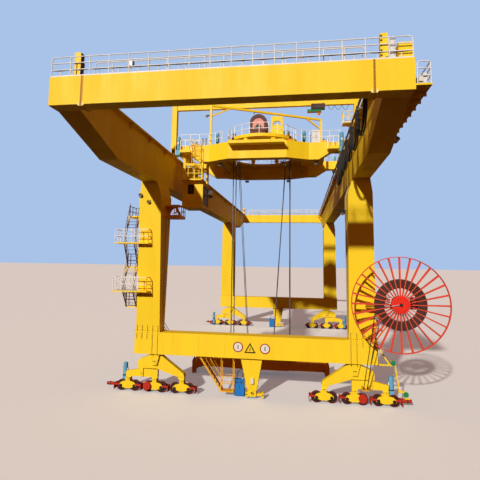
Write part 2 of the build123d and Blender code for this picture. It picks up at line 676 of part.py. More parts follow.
hood = arched(HOOD_R, HOOD_LOW, DRUM_Y0, DRUM_Y1) - arched(HOOD_R - 25, HOOD_LOW - 10, DRUM_Y0 + 25,
                                                          DRUM_Y1 - 25)
drum = [cyl_y(DRUM_X, DRUM_Y0 + 80, DRUM_Y1 - 80, hood_z - 40, 270),
        cyl_y(DRUM_X, DRUM_Y0 + 60, DRUM_Y0 + 85, hood_z - 40, 320),
        cyl_y(DRUM_X, DRUM_Y1 - 85, DRUM_Y1 - 60, hood_z - 40, 320),
        cyl_y(DRUM_X, DRUM_Y0 - 40, DRUM_Y1 + 40, hood_z - 40, 55)]
for y0 in (DRUM_Y0 - 40, DRUM_Y1 - 25):
    drum.append(box(DRUM_X - 300, DRUM_X + 300, y0, y0 + 65, deck_top, HOOD_LOW + 120))
rope_drum = [on_trolley(fuse([hood] + drum))]

FRAME_H = 1100
frame_x0 = 420
frame_x1 = 1060
face = plate_xz([(frame_x0, deck_top), (frame_x1, deck_top), (frame_x1 - 60, deck_top + FRAME_H),
                 (frame_x0 + 60, deck_top + FRAME_H)], -660, -540)
eye = cyl_y(740, -700, -500, deck_top + 700, 190) + box(550, 930, -700, -500, deck_top + 380, deck_top + 700)
motor_foot = box(frame_x0 + 60, frame_x1 - 60, -430, -230, deck_top + 120, deck_top + 230)
motor_bed = box(frame_x0 - 20, frame_x1 + 60, -680, 560, deck_top, deck_top + 120)
gearbox = box(520, 960, 200, 520, deck_top + 120, deck_top + 520)
hoist_motor = cyl_x(430, 1080, -330, deck_top + 320, 150)
hoist_frame = [on_trolley(fuse([face - eye, motor_bed, gearbox, motor_foot, hoist_motor]))]

# Ropes: four upright falls at the corners and four leaning ones towards the middle
ropes = []
for sx in (-1, 1):
    for sy in (-1, 1):
        foot = (sx * ROPE_X, sy * ROPE_Y, HEAD_TOP)
        ropes.append(bar(foot, (sx * ROPE_X, sy * ROPE_Y, ROPE_TOP), ROPE_D))
        ropes.append(bar((sx * 558, sy * 150, HEAD_TOP - 30), (sx * 1182, sy * 250, ROPE_TOP + 30), 24))
ropes = [on_trolley(r & box(-2000, 2000, -900, 900, HEAD_TOP, ROPE_TOP)) for r in ropes]

# Spreader: head block above, main frame and telescopic arms with end beams
FRAME_HALF = 1600
BEAM_T = 150
SIDE_Y = 330
head = [box(-1480, 1480, -120, 120, FRAME_TOP + 30, FRAME_TOP + 170)]
for x in (-ROPE_X, ROPE_X, -560, 560):
    reach = ROPE_Y + 60 if abs(x) == ROPE_X else 210
    head.append(box(x - 100, x + 100, -reach, reach, FRAME_TOP + 70, HEAD_TOP))
    head.append(box(x - 50, x + 50, -130, 130, FRAME_TOP - 40, FRAME_TOP + 40))
for y in (-SIDE_Y, SIDE_Y - BEAM_T):
    head.append(box(-1270, 1270, y, y + BEAM_T, FRAME_Z, FRAME_TOP))
    head.append(box(-FRAME_HALF, FRAME_HALF, y, y + BEAM_T, FRAME_Z + 20, FRAME_TOP - 40))
for x in (-1550, -ROPE_X, -560, -200, 200, 560, ROPE_X, 1550):
    head.append(box(x - 50, x + 50, -SIDE_Y, SIDE_Y, FRAME_Z + 30, FRAME_TOP - 40))
spreader_frame = [on_trolley(fuse(head))]

arms = []
for y in (-SIDE_Y + 10, SIDE_Y - BEAM_T + 10):
    arms.append(box(FRAME_HALF, 2990, y, y + BEAM_T - 20, FRAME_Z + 30, FRAME_TOP - 80))
arms.append(box(2880, SPREADER_HALF, -SPREADER_W / 2, SPREADER_W / 2, FRAME_Z - 75, FRAME_TOP - 130))
arms.append(box(2100, 2180, -300, 300, FRAME_Z + 50, FRAME_TOP - 100))
for y in (-SPREADER_W / 2, SPREADER_W / 2 - 120):
    arms.append(box(2880, SPREADER_HALF, y, y + 120, SPREADER_Z, FRAME_Z - 70))
arm = on_trolley(fuse(arms))
spreader_arms = [arm, mirror_x(arm)]

# Operator's cab under the left end of the front cross beam
CAB_X0 = -3370
CAB_X1 = -2440
CAB_Y0 = -1950
CAB_Y1 = -760
CAB_Z0 = GIRDER_TOP - 2180
CAB_Z1 = GIRDER_TOP - 1000
WALL = 40
GLASS = 12
cab_shell = box(CAB_X0, CAB_X1, CAB_Y0, CAB_Y1, CAB_Z0, CAB_Z1) - box(
    CAB_X0 + WALL, CAB_X1 - WALL, CAB_Y0 + WALL, CAB_Y1 - WALL, CAB_Z0 + WALL, CAB_Z1 - WALL)
front_pane = (CAB_Y0 + 110, CAB_Y1 - 110, CAB_Z0 + 160, CAB_Z1 - 190)
side_pane = (CAB_X0 + 260, CAB_X0 + 520, CAB_Z1 - 560, CAB_Z1 - 160)
rear_pane = (CAB_X1 - 620, CAB_X1 - 140, CAB_Z0 + 420, CAB_Z1 - 190)
cab_shell -= box(CAB_X1 - WALL - 10, CAB_X1 + 10, *front_pane)
cab_shell -= box(side_pane[0], side_pane[1], CAB_Y0 - 10, CAB_Y0 + WALL + 10, *side_pane[2:])
cab_shell -= box(rear_pane[0], rear_pane[1], CAB_Y1 - WALL - 10, CAB_Y1 + 10, *rear_pane[2:])
cab = [on_trolley(cab_shell)]
glass = [box(CAB_X1 - 26, CAB_X1 - 26 + GLASS, *front_pane),
         box(side_pane[0], side_pane[1], CAB_Y0 + 14, CAB_Y0 + 14 + GLASS, *side_pane[2:]),
         box(rear_pane[0], rear_pane[1], CAB_Y1 - 26, CAB_Y1 - 26 + GLASS, *rear_pane[2:])]
cab_glazing = [on_trolley(g) for g in glass]

# Hanger frame of the cab, with a landing on its roof and a ladder up to the trolley
hang = []
hang_z = GIRDER_TOP + 220
for x, top in ((CAB_X0 + 60, NOTCH_Z), (CAB_X1 - 60, BEAM_BOTTOM)):
    hang.append(box(x - 50, x + 50, -BOW_END + 10, -BOW_END + 130, CAB_Z1, top))
    hang.append(box(x - 50, x + 50, CAB_Y1 - 130, CAB_Y1 - 10, CAB_Z1, hang_z + 120))
    hang.append(box(x - 50, x + 50, -BOW_END + BEAM_W, CAB_Y1 - 10, hang_z, hang_z + 120))
hang.append(box(CAB_X0 + 10, CAB_X1 - 10, CAB_Y1 - 110, CAB_Y1 - 30, hang_z - 500, hang_z - 400))
hang.append(box(CAB_X0 + 10, CAB_X1 - 10, -BOW_END + 30, -BOW_END + 110, hang_z - 500, hang_z - 400))
landing_z = CAB_Z1 + 60
hang.append(box(CAB_X0, CAB_X1, -BOW_END - 280, -BOW_END + 130, CAB_Z1, landing_z))
hang.append(fence([(CAB_X0 + 20, -BOW_END - 20), (CAB_X0 + 20, -BOW_END - 260),
                   (CAB_X1 - 20, -BOW_END - 260), (CAB_X1 - 20, -BOW_END - 20)], landing_z, [1, 3, 1]))
lad_x0 = -2850
lad_x1 = -2590
lad_y = -BOW_END - 150
for x in (lad_x0, lad_x1):
    hang.append(bar((x, lad_y, landing_z), (x, lad_y, hang_z + 680), 22))
for k in range(12):
    z = landing_z + 90 + k * 150
    hang.append(bar((lad_x0, lad_y, z), (lad_x1, lad_y, z), 14))
for z in (hang_z - 600, hang_z - 160, hang_z + 350):
    hoop = [(lad_x0, lad_y), (lad_x0 - 40, lad_y - 190), (lad_x0 + 140, lad_y - 300),
            (lad_x1 + 40, lad_y - 190), (lad_x1, lad_y)]
    for p, q in zip(hoop, hoop[1:]):
        hang.append(bar((p[0], p[1], z), (q[0], q[1], z), 16, 24))
for x in (lad_x0 - 40, lad_x1 + 40):
    hang.append(bar((x, lad_y - 190, hang_z - 608), (x, lad_y - 190, hang_z + 358), 14))
cab_hanger = [on_trolley(fuse(hang))]

# Cable reel on the front right leg
reel_parts = []
rim_r = REEL_R
spokes = 28
RIM_Y = 35
HUB_R = 300
COIL_IN = 560
COIL_OUT = 870
for k in range(spokes):
    a = 2 * math.pi * k / spokes
    for side in (-1, 1):
        hub = (190 * math.cos(a), side * (REEL_W / 2 - 15), 190 * math.sin(a))
        tip = ((rim_r - 12) * math.cos(a), side * RIM_Y, (rim_r - 12) * math.sin(a))
        reel_parts.append(bar(hub, tip, 22))
    pin_r = rim_r - 12
    pin = rod((pin_r * math.cos(a), -RIM_Y, pin_r * math.sin(a)),
              (pin_r * math.cos(a), RIM_Y, pin_r * math.sin(a)), 16)
    reel_parts.append(pin)
for side in (-1, 1):
    y0 = side * RIM_Y - 11
    ring = cyl_y(0, y0, y0 + 22, 0, rim_r) - cyl_y(0, y0 - 5, y0 + 30, 0, rim_r - 26)
    reel_parts.append(ring)
hub = cyl_y(0, -REEL_W / 2 - 20, REEL_W / 2 + 20, 0, HUB_R)
cable_ring = cyl_y(0, -42, 42, 0, COIL_OUT) - cyl_y(0, -60, 60, 0, COIL_IN)
reel = fuse([hub, cable_ring] + reel_parts)
cable_reel = [Pos(REEL_X, REEL_Y, REEL_Z) * reel]

# Reel stand: gear housing, gearbox, motor and the bracket that carries them from the leg
back = REEL_Y + REEL_W / 2 + 20 + SEAT
stand = [box(REEL_X - 200, REEL_X + 200, back, back + 330, REEL_Z - 200, REEL_Z + 200),
         box(REEL_X - 585, REEL_X - 328, back + 30, back + 300, REEL_Z - 163, REEL_Z + 239),
         cyl_z(REEL_X + 500, back + 165, REEL_Z - 163, REEL_Z + 239, 125),
         box(REEL_X + 190, REEL_X + 420, back + 100, back + 230, REEL_Z - 60, REEL_Z + 80),
         box(LEG_OUT_LOW - 400, REEL_X - 190, back + 60, back + 180, REEL_Z - 150, REEL_Z - 30),
         box(LEG_OUT_LOW - 400, LEG_OUT_LOW - 300, back + 60, -SILL_Y - 260, REEL_Z - 150, REEL_Z - 30)]
reel_stand = [fuse(stand) - front_right_leg[0]]

# Cable guide below the reel, on the right end of the front sill
gx = SILL_HALF
gy = -SILL_Y - 150
guide = [box(gx, gx + 640, gy, gy + 60, SILL_BOTTOM - 45, SILL_BOTTOM + 15),
         bar((gx + 20, gy + 30, SILL_BOTTOM + 620), (gx + 420, gy + 30, SILL_BOTTOM), 46),
         bar((gx + 600, gy + 30, SILL_BOTTOM - 20), (gx + 740, gy + 30, 570), 50),
         box(gx, gx + 30, gy - 40, gy + 100, SILL_BOTTOM - 60, SILL_BOTTOM + 720),
         cyl_y(gx + 530, gy - 60, gy + 120, SILL_BOTTOM + 80, 75),
         box(gx + 700, gx + 900, gy, gy + 60, 540, 600),
         cyl_y(gx + 950, gy, gy + 50, 480, 100),
         box(gx + 900, gx + 1080, gy, gy + 50, 320, 360),
         box(gx + 930, gx + 970, gy, gy + 50, 350, 420)]
fork_y = REEL_Y + 95
fork_lines = [((4330, 2330), (4800, 2960)), ((4250, 2480), (4560, 3180)), ((4250, 2480), (4330, 2330)),
              ((4800, 2960), (4850, 3100)), ((4560, 3180), (4400, 3330)), ((4420, 2850), (4640, 2750))]
fork = [box(4340, 4420, fork_y - 20, -SILL_Y, 2700, 2800)]
for a, b in fork_lines:
    fork.append(bar((a[0], fork_y, a[1]), (b[0], fork_y, b[1]), 44))
fork = fuse(fork) - front_right_leg[0]
cable_guide = [fuse(guide), fork]

# Stairs up the outer side of the front left leg
STAIR_X0 = -5180
STAIR_X1 = -4760
FRONT_Y = -SILL_Y - 780
FRONT_IN = -SILL_Y - 230
REAR_Y = -SILL_Y + 620
REAR_IN = -SILL_Y + 250
STRINGER_END = 35


def flight(y0, z0, y1, z1):
    parts = []
    run = math.hypot(y1 - y0, z1 - z0)
    foot_y = y0 - (y1 - y0) * STRINGER_END / run
    foot_z = z0 - (z1 - z0) * STRINGER_END / run
    for x in (STAIR_X0, STAIR_X1):
        parts.append(bar((x, foot_y, foot_z), (x, y1, z1), 24, 60))
        for lift in (RAIL_H, RAIL_H / 2):
            parts.append(bar((x, y0, z0 + lift), (x, y1, z1 + lift), 16))
        for t in (0.03, 0.5, 0.97):
            y = y0 + (y1 - y0) * t
            z = z0 + (z1 - z0) * t
            parts.append(box(x - 9, x + 9, y - 9, y + 9, z, z + RAIL_H))
    count = max(3, int(abs(z1 - z0) / 125))
    for k in range(1, count):
        y = y0 + (y1 - y0) * k / count
        z = z0 + (z1 - z0) * k / count
        parts.append(box(STAIR_X0, STAIR_X1, y - 45, y + 45, z - 6, z + 6))
    return parts


def front_landing(z):
    parts = [box(-5340, -4400, FRONT_Y, FRONT_IN, z - 50, z),
             box(-4400, -3960, FRONT_Y, FRONT_IN + 60, z - 50, z)]
    parts.append(plate_yz([(FRONT_Y + 20, z - 50), (FRONT_IN + 60, z - 50), (FRONT_IN + 60, z - 170)],
                          -4010, -3960))
    parts.append(plate_yz([(FRONT_Y + 20, z - 50), (FRONT_IN + 60, z - 50), (FRONT_IN + 60, z - 170)],
                          -4440, -4390))
    line = [(-5325, FRONT_IN - 15), (-5325, FRONT_Y + 15), (-3975, FRONT_Y + 15), (-3975, FRONT_IN - 60)]
    parts.append(fence(line, z, [2, 4, 1]))
    return parts


def rear_landing(z):
    parts = [box(-5240, -4450, REAR_IN, REAR_Y, z - 50, z)]
    line = [(-5225, REAR_IN + 15), (-5225, REAR_Y - 15), (-4560, REAR_Y - 15)]
    parts.append(fence(line, z, [1, 2]))
    return parts


def top_landing(z):
    # runs on behind the leg to a landing on its inner side, with a step up to the cab
    link_y = REAR_Y + 350
    edge_x = -LEG_IN + 620
    front = -SILL_Y - 130
    rear = REAR_Y + 80
    parts = [box(-5240, -4450, REAR_IN, REAR_Y, z - 50, z),
             box(-5240, -LEG_IN + 150, REAR_Y, link_y, z - 50, z),
             box(-LEG_IN, edge_x, front, rear, z - 110, z)]
    line = [(-5225, REAR_IN + 15), (-5225, link_y - 15), (-LEG_IN + 135, link_y - 15),
            (-LEG_IN + 135, rear - 15), (edge_x - 15, rear - 15), (edge_x - 15, front + 300)]
    parts.append(fence(line, z, [2, 4, 1, 1, 2], height=CAB_Z0 - 100 - z))
    high = CAB_Z0 - 110
    parts.append(box(-LEG_IN, edge_x - 30, front - 20, front + 320, high - 80, high))
    parts.append(plate_xz([(-LEG_IN, high - 80), (-LEG_IN + 300, high - 80), (-LEG_IN, z - 60)], front + 300,
                          front + 320))
    for y in (front + 25, front + 275):
        parts.append(bar((edge_x - 220, y, high - 40), (edge_x - 30, y, z - 20), 24, 50))
    for t in (0.33, 0.66):
        x = edge_x - 220 + 190 * t
        level = high - (high - z) * t
        parts.append(box(x - 45, x + 45, front + 25, front + 275, level - 6, level + 6))
    return parts


def steep_flight(x0, z0, x1, z1, ya, yb):
    parts = []
    for y in (ya, yb):
        parts.append(bar((x0, y, z0), (x1, y, z1), 24, 60))
        for lift in (RAIL_H, RAIL_H / 2):
            parts.append(bar((x0, y, z0 + lift), (x1, y, z1 + lift), TUBE - 4))
        for t in (0.03, 0.5, 0.97):
            x = x0 + (x1 - x0) * t
            z = z0 + (z1 - z0) * t
            parts.append(box(x - 9, x + 9, y - 9, y + 9, z, z + RAIL_H))
    count = int(abs(z1 - z0) / 125)
    for k in range(1, count):
        x = x0 + (x1 - x0) * k / count
        z = z0 + (z1 - z0) * k / count
        parts.append(box(x - 45, x + 45, ya, yb, z - 6, z + 6))
    return parts


stair_parts = []
LOW_LANDING = 3200
TOP_LANDING = 6880
levels = [(LOW_LANDING, 'rear'), (3890, 'front'), (4780, 'rear'), (5740, 'front'), (TOP_LANDING, 'top')]
for z, place in levels:
    if place == 'front':
        stair_parts += front_landing(z)
    elif place == 'rear':
        stair_parts += rear_landing(z)
    else:
        stair_parts += top_landing(z)
for (za, place), (zb, other) in zip(levels, levels[1:]):
    ya = FRONT_IN if place == 'front' else REAR_IN
    yb = REAR_IN if place == 'front' else FRONT_IN
    stair_parts += flight(ya, za, yb, zb)

# Steep flight behind the leg, down to a walkway along the sill's inner side
sill_in = -SILL_Y + SILL_W / 2
walk_y = sill_in + 370
low_z = SILL_BOTTOM + 30
foot_x = -LEG_IN + 230
stair_parts += steep_flight(-4506, LOW_LANDING - 6, foot_x, low_z - 6, sill_in + 110, walk_y - 20)
stair_parts.append(box(foot_x - 90, -1900, sill_in, walk_y, low_z - 50, low_z))
stair_parts.append(fence([(foot_x + 40, walk_y - 12), (-1915, walk_y - 12)], low_z, [3]))
stairs = fuse(stair_parts) - front_left_leg[0] - left_girder - front_sill[0]
leg_stairs = [stairs]

# Upright ladder from the top landing to the girder
ladder_x = -4600
ladder_parts = []
for y in (REAR_Y - 330, REAR_Y - 90):
    ladder_parts.append(box(ladder_x - 11, ladder_x + 11, y - 11, y + 11, TOP_LANDING, GIRDER_TOP + 400))
rung_count = int((GIRDER_TOP + 350 - TOP_LANDING) / 160)
for k in range(rung_count):
    z = TOP_LANDING + 100 + k * 160
    ladder_parts.append(box(ladder_x - 7, ladder_x + 7, REAR_Y - 330, REAR_Y - 90, z, z + 14))
for k in range(4):
    z = TOP_LANDING + 520 + k * 600
    ladder_parts.append(box(ladder_x, -GIRDER_OUT, REAR_Y - 345, REAR_Y - 315, z, z + 30))
leg_ladder = [fuse(ladder_parts) - front_left_leg[0] - left_girder]


# Rail clamps under the middle of both sills
def rail_clamp():
    y = -SILL_Y
    plates = []
    for y0 in (y - 170, y + 150):
        face = [(-400, SILL_BOTTOM), (420, SILL_BOTTOM), (210, 330), (-130, 330)]
        plates.append(plate_xz(face, y0, y0 + 20))
    left = [(-380, SILL_BOTTOM), (-340, SILL_BOTTOM), (-90, 330), (-130, 330)]
    right = [(400, SILL_BOTTOM), (360, SILL_BOTTOM), (170, 330), (210, 330)]
    plates.append(plate_xz(left, y - 150, y + 150))
    plates.append(plate_xz(right, y - 150, y + 150))
    plates.append(box(-110, 190, y - 140, y + 140, 90, 360))
    plates.append(box(-200, 480, y - 70, y + 70, 110, 190))
    for x in (-200, 400):
        plates.append(box(x, x + 80, y - 110, y + 110, 40, 230))
    plates.append(cyl_y(40, y - 200, y + 200, 240, 60))
    plates.append(box(0, 110, y - 250, y - 170, 560, 780))
    return fuse(plates)


front_clamp = rail_clamp()
rail_clamps = [front_clamp, mirror_y(front_clamp)]


def power_pack():
    y = -SILL_Y
    body = box(-644, -271, y + 20, y + 260, 60, 635)
    shelf = box(-660, -140, y + 60, y + 220, 30, 60)
    return body.fuse(shelf)


power = power_pack() - front_clamp
power_packs = [power, mirror_y(power)]


# Steps that hang under the front sill
def sill_stair():
    y = -SILL_Y
    parts = [box(-1160, -660, y - 160, y + 160, 200, 240)]
    for y0 in (y - 160, y + 130):
        parts.append(bar((-1990, y0 + 15, SILL_BOTTOM), (-1130, y0 + 15, 240), 30, 60))
        for lift in (RAIL_H, RAIL_H / 2):
            parts.append(bar((-1990, y0 + 15, SILL_BOTTOM + lift), (-1130, y0 + 15, 240 + lift), TUBE - 4))
        for x in (-1150, -690):
            parts.append(box(x, x + 24, y0, y0 + 24, 240, SILL_BOTTOM))
        for level in (500, 760):
            parts.append(box(-1150, -670, y0, y0 + 20, level, level + 20))
    for k in range(1, 9):
        t = k / 9
        x = -1990 + 860 * t
        z = SILL_BOTTOM - (SILL_BOTTOM - 240) * t
        parts.append(box(x - 45, x + 45, y - 150, y + 150, z - 6, z + 6))
    clear = box(-3000, 0, y - 400, y + 400, SILL_BOTTOM, SILL_BOTTOM + 900)
    return fuse(parts) - clear


sill_steps = [sill_stair()]

# Festoon on the inner side of the right girder
FESTOON_X = 3440
FESTOON_Z = GIRDER_TOP - 180
track_parts = [box(FESTOON_X - 25, FESTOON_X + 25, -END_Y + END_BEAM_W + 60, END_Y - END_BEAM_W - 60,
                   FESTOON_Z, FESTOON_Z + 50)]
for k in range(16):
    y = -END_Y + 700 + k * (GIRDER_LENGTH - 1400) / 15
    track_parts.append(box(FESTOON_X - 20, WEB_IN, y - 20, y + 20, FESTOON_Z + 50, FESTOON_Z + 100))
festoon_track = [fuse(track_parts) - right_girder]

loops = []
start = -END_Y + 850
spans = [1500, 1450, 1400, 1300, 1000, 700, 480]
y = start
for n, span in enumerate(spans):
    deep = 1020 if n < 5 else 1120
    line = [(y, FESTOON_Z - 90), (y + span * 0.12, FESTOON_Z - deep * 0.75),
            (y + span * 0.35, FESTOON_Z - deep),
            (y + span * 0.65, FESTOON_Z - deep), (y + span * 0.88, FESTOON_Z - deep * 0.75),
            (y + span, FESTOON_Z - 90)]
    for p, q in zip(line, line[1:]):
        loops.append(bar((FESTOON_X - 30, p[0], p[1]), (FESTOON_X - 30, q[0], q[1]), 90, 40))
    loops.append(box(FESTOON_X - 60, FESTOON_X + 15, y - 40, y + 40, FESTOON_Z - 120, FESTOON_Z - SEAT))
    y += span
loops.append(box(FESTOON_X - 60, FESTOON_X + 15, y - 40, y + 40, FESTOON_Z - 120, FESTOON_Z - SEAT))
festoon_cables = [fuse(loops)]

nodes = {
    "left_girder": [left_girder], "right_girder": [right_girder], "end_beams": end_beams,
    "trolley_track": trolley_track, "girder_railings": end_railings + walkway_railing,
    "walkway": walkway, "front_left_leg": front_left_leg,
    "front_right_leg": front_right_leg, "rear_left_leg": rear_left_leg,
    "rear_right_leg": rear_right_leg, "front_sill": front_sill, "rear_sill": rear_sill,
    "main_equalisers": main_equalisers, "second_equalisers": secondary_equalisers,
    "bogie_frames": bogie_frames, "travel_motors": travel_motors, "wheel_guards": wheel_guards,
    "portal_frame": portal_frame, "service_hoist": service_hoist,
    "front_cross_beam": front_cross_beam, "rear_cross_beam": rear_cross_beam,
    "ring_deck": ring_deck, "end_carriages": end_carriages,
    "front_trolley_wheels": trolley_wheels(-1), "rear_trolley_wheels": trolley_wheels(1),
    "trolley_drives": trolley_drives, "trolley_cabinet": trolley_cabinet,
    "trolley_railings": trolley_railings, "cable_arch": cable_arch,
    "slewing_deck": slewing_deck, "deck_railing": deck_railing, "rope_drum": rope_drum,
    "hoist_frame": hoist_frame, "hoist_ropes": ropes,
    "spreader_frame": spreader_frame, "spreader_arms": spreader_arms, "cab": cab,
    "cab_glazing": cab_glazing, "cab_hanger": cab_hanger, "cable_reel": cable_reel,
    "reel_stand": reel_stand, "cable_guide": cable_guide, "stairs": leg_stairs + sill_steps,
    "leg_ladder": leg_ladder,
    "rail_clamps": rail_clamps, "power_packs": power_packs,
    "festoon_track": festoon_track, "festoon_cables": festoon_cables,
}
for n, x in enumerate(wheel_x):
    nodes[f"wheels_{n + 1:02d}"] = wheel_pair(x)
for name, shapes in nodes.items():
    save(name, shapes)
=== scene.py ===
# %% [markdown]
# # A double girder gantry crane, dressed for the camera
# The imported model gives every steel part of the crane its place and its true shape. This
# lesson adds what makes such a crane look real: worn enamel paint, rolled rail, greased
# rope, bolts by the hundred, gratings, lamps, cables and the coil on the big cable reel.

# %% Load the frame
import math

import bmesh
import bpy
from mathutils import Matrix, Vector


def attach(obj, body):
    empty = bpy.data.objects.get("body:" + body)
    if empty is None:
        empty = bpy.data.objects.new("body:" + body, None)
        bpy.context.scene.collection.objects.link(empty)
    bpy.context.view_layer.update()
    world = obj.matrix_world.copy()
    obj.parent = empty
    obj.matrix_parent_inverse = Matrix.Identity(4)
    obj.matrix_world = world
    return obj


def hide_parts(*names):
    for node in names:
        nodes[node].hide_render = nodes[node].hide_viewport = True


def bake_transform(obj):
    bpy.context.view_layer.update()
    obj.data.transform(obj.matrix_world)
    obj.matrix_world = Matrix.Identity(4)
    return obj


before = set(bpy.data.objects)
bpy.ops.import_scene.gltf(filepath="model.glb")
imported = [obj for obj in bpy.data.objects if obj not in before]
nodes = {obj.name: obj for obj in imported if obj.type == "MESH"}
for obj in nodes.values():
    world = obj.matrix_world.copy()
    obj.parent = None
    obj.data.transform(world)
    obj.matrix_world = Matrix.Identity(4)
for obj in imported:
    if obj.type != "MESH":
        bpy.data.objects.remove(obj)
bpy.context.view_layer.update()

print("nodes loaded:", len(nodes))

# %% [markdown]
# ## Places in millimetres
# The crane was drawn in millimetres from its own middle line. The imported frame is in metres
# and its zero lies 570 mm to the right of that line, so one small function turns the one
# into the other. Every place below is then a number that a fitter could measure.

# %% Places
MIDDLE = 570
GIRDER_LENGTH = 31500
GIRDER_TOP = 9580
GIRDER_OUT = 4350
TRACK_X = 3760
END_Y = GIRDER_LENGTH / 2
SILL_Y = 8750
SILL_FACE = SILL_Y + 300
TROLLEY_Y = -5200
PIVOT_X = 3755
WHEEL_PITCH = 542
WHEEL_Z = 205
REEL = (5220, -9720, 3670)
SIDES = (-1, 1)
CORNERS = [(sx, sy) for sx in SIDES for sy in SIDES]


def at(x, y, z):
    return Vector(((x - MIDDLE) / 1000, y / 1000, z / 1000))


print("girder top at", at(0, 0, GIRDER_TOP).z, "m")

# %% [markdown]
# ## Nodes by one function
# Materials and Geometry Nodes are both trees of nodes. One function adds a node, sets what
# it needs and links its inputs, so the recipes below stay short enough to read.

# %% Node helper


def add(tree, kind, inputs=None, **settings):
    made = tree.nodes.new(kind)
    for key, value in settings.items():
        setattr(made, key, value)
    for key, value in (inputs or {}).items():
        if isinstance(value, bpy.types.NodeSocket):
            tree.links.new(value, made.inputs[key])
        else:
            made.inputs[key].default_value = value
    return made


def colour(code):
    parts = [int(code[i:i + 2], 16) / 255 for i in (1, 3, 5)]
    return tuple(c / 12.92 if c <= 0.04045 else ((c + 0.055) / 1.055) ** 2.4 for c in parts) + (1,)


print("crane yellow in linear light:", [round(c, 3) for c in colour("#FFDB22")[:3]])

# %% [markdown]
# ## Nodes that every recipe uses
# Sums, noise, a change of range and a mix of two colours occur again and again. Each gets a
# name of its own and hands back the socket that the next node needs.

# %% Common nodes


def maths(tree, operation, *values):
    return add(tree, "ShaderNodeMath", dict(enumerate(values)), operation=operation).outputs[0]


def noise(tree, place, scale, detail, roughness=0.5):
    return add(tree, "ShaderNodeTexNoise", {"Vector": place, "Scale": scale, "Detail": detail,
                                            "Roughness": roughness}).outputs["Fac"]


def remap(tree, value, low, high, to_low=0.0, to_high=1.0):
    return add(tree, "ShaderNodeMapRange", {"Value": value, "From Min": low, "From Max": high,
                                            "To Min": to_low, "To Max": to_high}).outputs["Result"]


def mixed(tree, share, one, other):
    return add(tree, "ShaderNodeMix", {"Factor": share, 6: one, 7: other}, data_type="RGBA").outputs[2]


print("sides and corners:", SIDES, CORNERS)

# %% [markdown]
# ## Enamel on rolled plate
# Crane steel is blasted, primed and sprayed with a thick enamel. Close by it shows a slight
# orange peel, from further off dark stains where rain runs down, and brown specks where
# stones or chains broke the film. Noise stretched along Z makes the stains, about 700 mm
# wide, a fine one the peel, and a sharp threshold on a third the chips. The peel of a real
# film is 1 or 2 mm wide, and is drawn ten times coarser so that it shows at all. All three
# read Object coordinates, so the pattern keeps its size on every plate.

# %% Enamel


def new_finish(name):
    mat = bpy.data.materials.new(name)
    mat.use_nodes = True
    tree = mat.node_tree
    return mat, tree, tree.nodes["Principled BSDF"], add(tree, "ShaderNodeTexCoord").outputs["Object"]


def enamel(name, main, dark, chip="#5A3018", rough=0.5, wear=0.5):
    mat, tree, shader, place = new_finish(name)
    shader.inputs["IOR"].default_value = 1.5
    shader.inputs["Specular IOR Level"].default_value = 0.28
    # soft upright stains, where rain ran down, which also dull the gloss
    tall = add(tree, "ShaderNodeMapping", {"Vector": place, "Scale": (1.6, 1.6, 0.22)}).outputs["Vector"]
    stain = noise(tree, tall, 1.4, 6.0, 0.62)
    stained = maths(tree, "MULTIPLY", remap(tree, stain, 0.42, 0.75), wear)
    base = mixed(tree, stained, colour(main), colour(dark))
    # small brown chips with a hard edge
    speck = noise(tree, place, 9.0, 8.0, 0.7)
    chipped = maths(tree, "MULTIPLY", remap(tree, speck, 0.71, 0.75), wear)
    tree.links.new(mixed(tree, chipped, base, colour(chip)), shader.inputs["Base Color"])
    tree.links.new(remap(tree, stain, 0.3, 0.8, rough - 0.06, rough + 0.22), shader.inputs["Roughness"])
    # orange peel, a faint grain that breaks up the highlights
    peel = noise(tree, place, 60.0, 3.0)
    bump = add(tree, "ShaderNodeBump", {"Height": peel, "Strength": 0.06, "Distance": 0.004})
    tree.links.new(bump.outputs["Normal"], shader.inputs["Normal"])
    return mat


yellow = enamel("yellow_enamel_on_plate", "#FFDB22", "#E8B012", wear=0.28)
stair_yellow = enamel("orange_yellow_enamel", "#F8B81C", "#BC7A10", wear=0.4)
spreader_orange = enamel("orange_enamel_spreader", "#FFA81C", "#C8741A", wear=0.3)
red = enamel("red_enamel_guards", "#C43020", "#74201A", wear=0.5)
hub_red = enamel("bright_red_enamel_hub", "#EE2A18", "#A81C10", wear=0.25)
reel_red = enamel("orange_red_enamel_reel", "#E0503A", "#A8382A", wear=0.35)
blue = enamel("light_blue_enamel_motors", "#6FB4DA", "#2F5E7E", wear=0.45)
pack_blue = enamel("bright_blue_enamel_pack", "#1F7FD8", "#145090", wear=0.3)
dark_motor = enamel("dark_red_enamel_motor", "#6E2430", "#38131A", wear=0.5)
orange = enamel("orange_enamel_guide", "#F07F12", "#A8500C", wear=0.4)
green = enamel("green_enamel_small_hoist", "#1F8F5B", "#0F4E33", wear=0.4)
# dark maroon enamel, also laid as painted shade on the shaded sides of the left end stops
maroon = enamel("dark_maroon_enamel_and_painted_shade", "#4A201A", "#2A110E", wear=0.5)
hood_brown = enamel("brown_enamel_drum_hood", "#6E3A30", "#4C2A22", wear=0.5)
hood_pink = enamel("pale_pink_enamel_hood_end", "#E2938A", "#B8685E", wear=0.3)
white = enamel("white_paint_on_tube", "#EEF0F4", "#B4B8C0", chip="#8C7B6A", rough=0.42, wear=0.3)
cabinet = enamel("pale_grey_powder_coat", "#E4E5E8", "#A4A6AA", rough=0.5, wear=0.25)
print("enamels:", len([m for m in bpy.data.materials if "enamel" in m.name]))

# %% [markdown]
# ## Bare metal, rope, rubber and glass
# Rolled rail is bright only on the strip where wheels run, so its roughness follows noise
# that is long in the direction of rolling. Wire rope is greased and nearly black. Cable
# sheath is dull rubber. Stair treads are pressed from galvanised sheet. The cab has tinted
# glass, and lamps have frosted glass.

# %% Bare materials


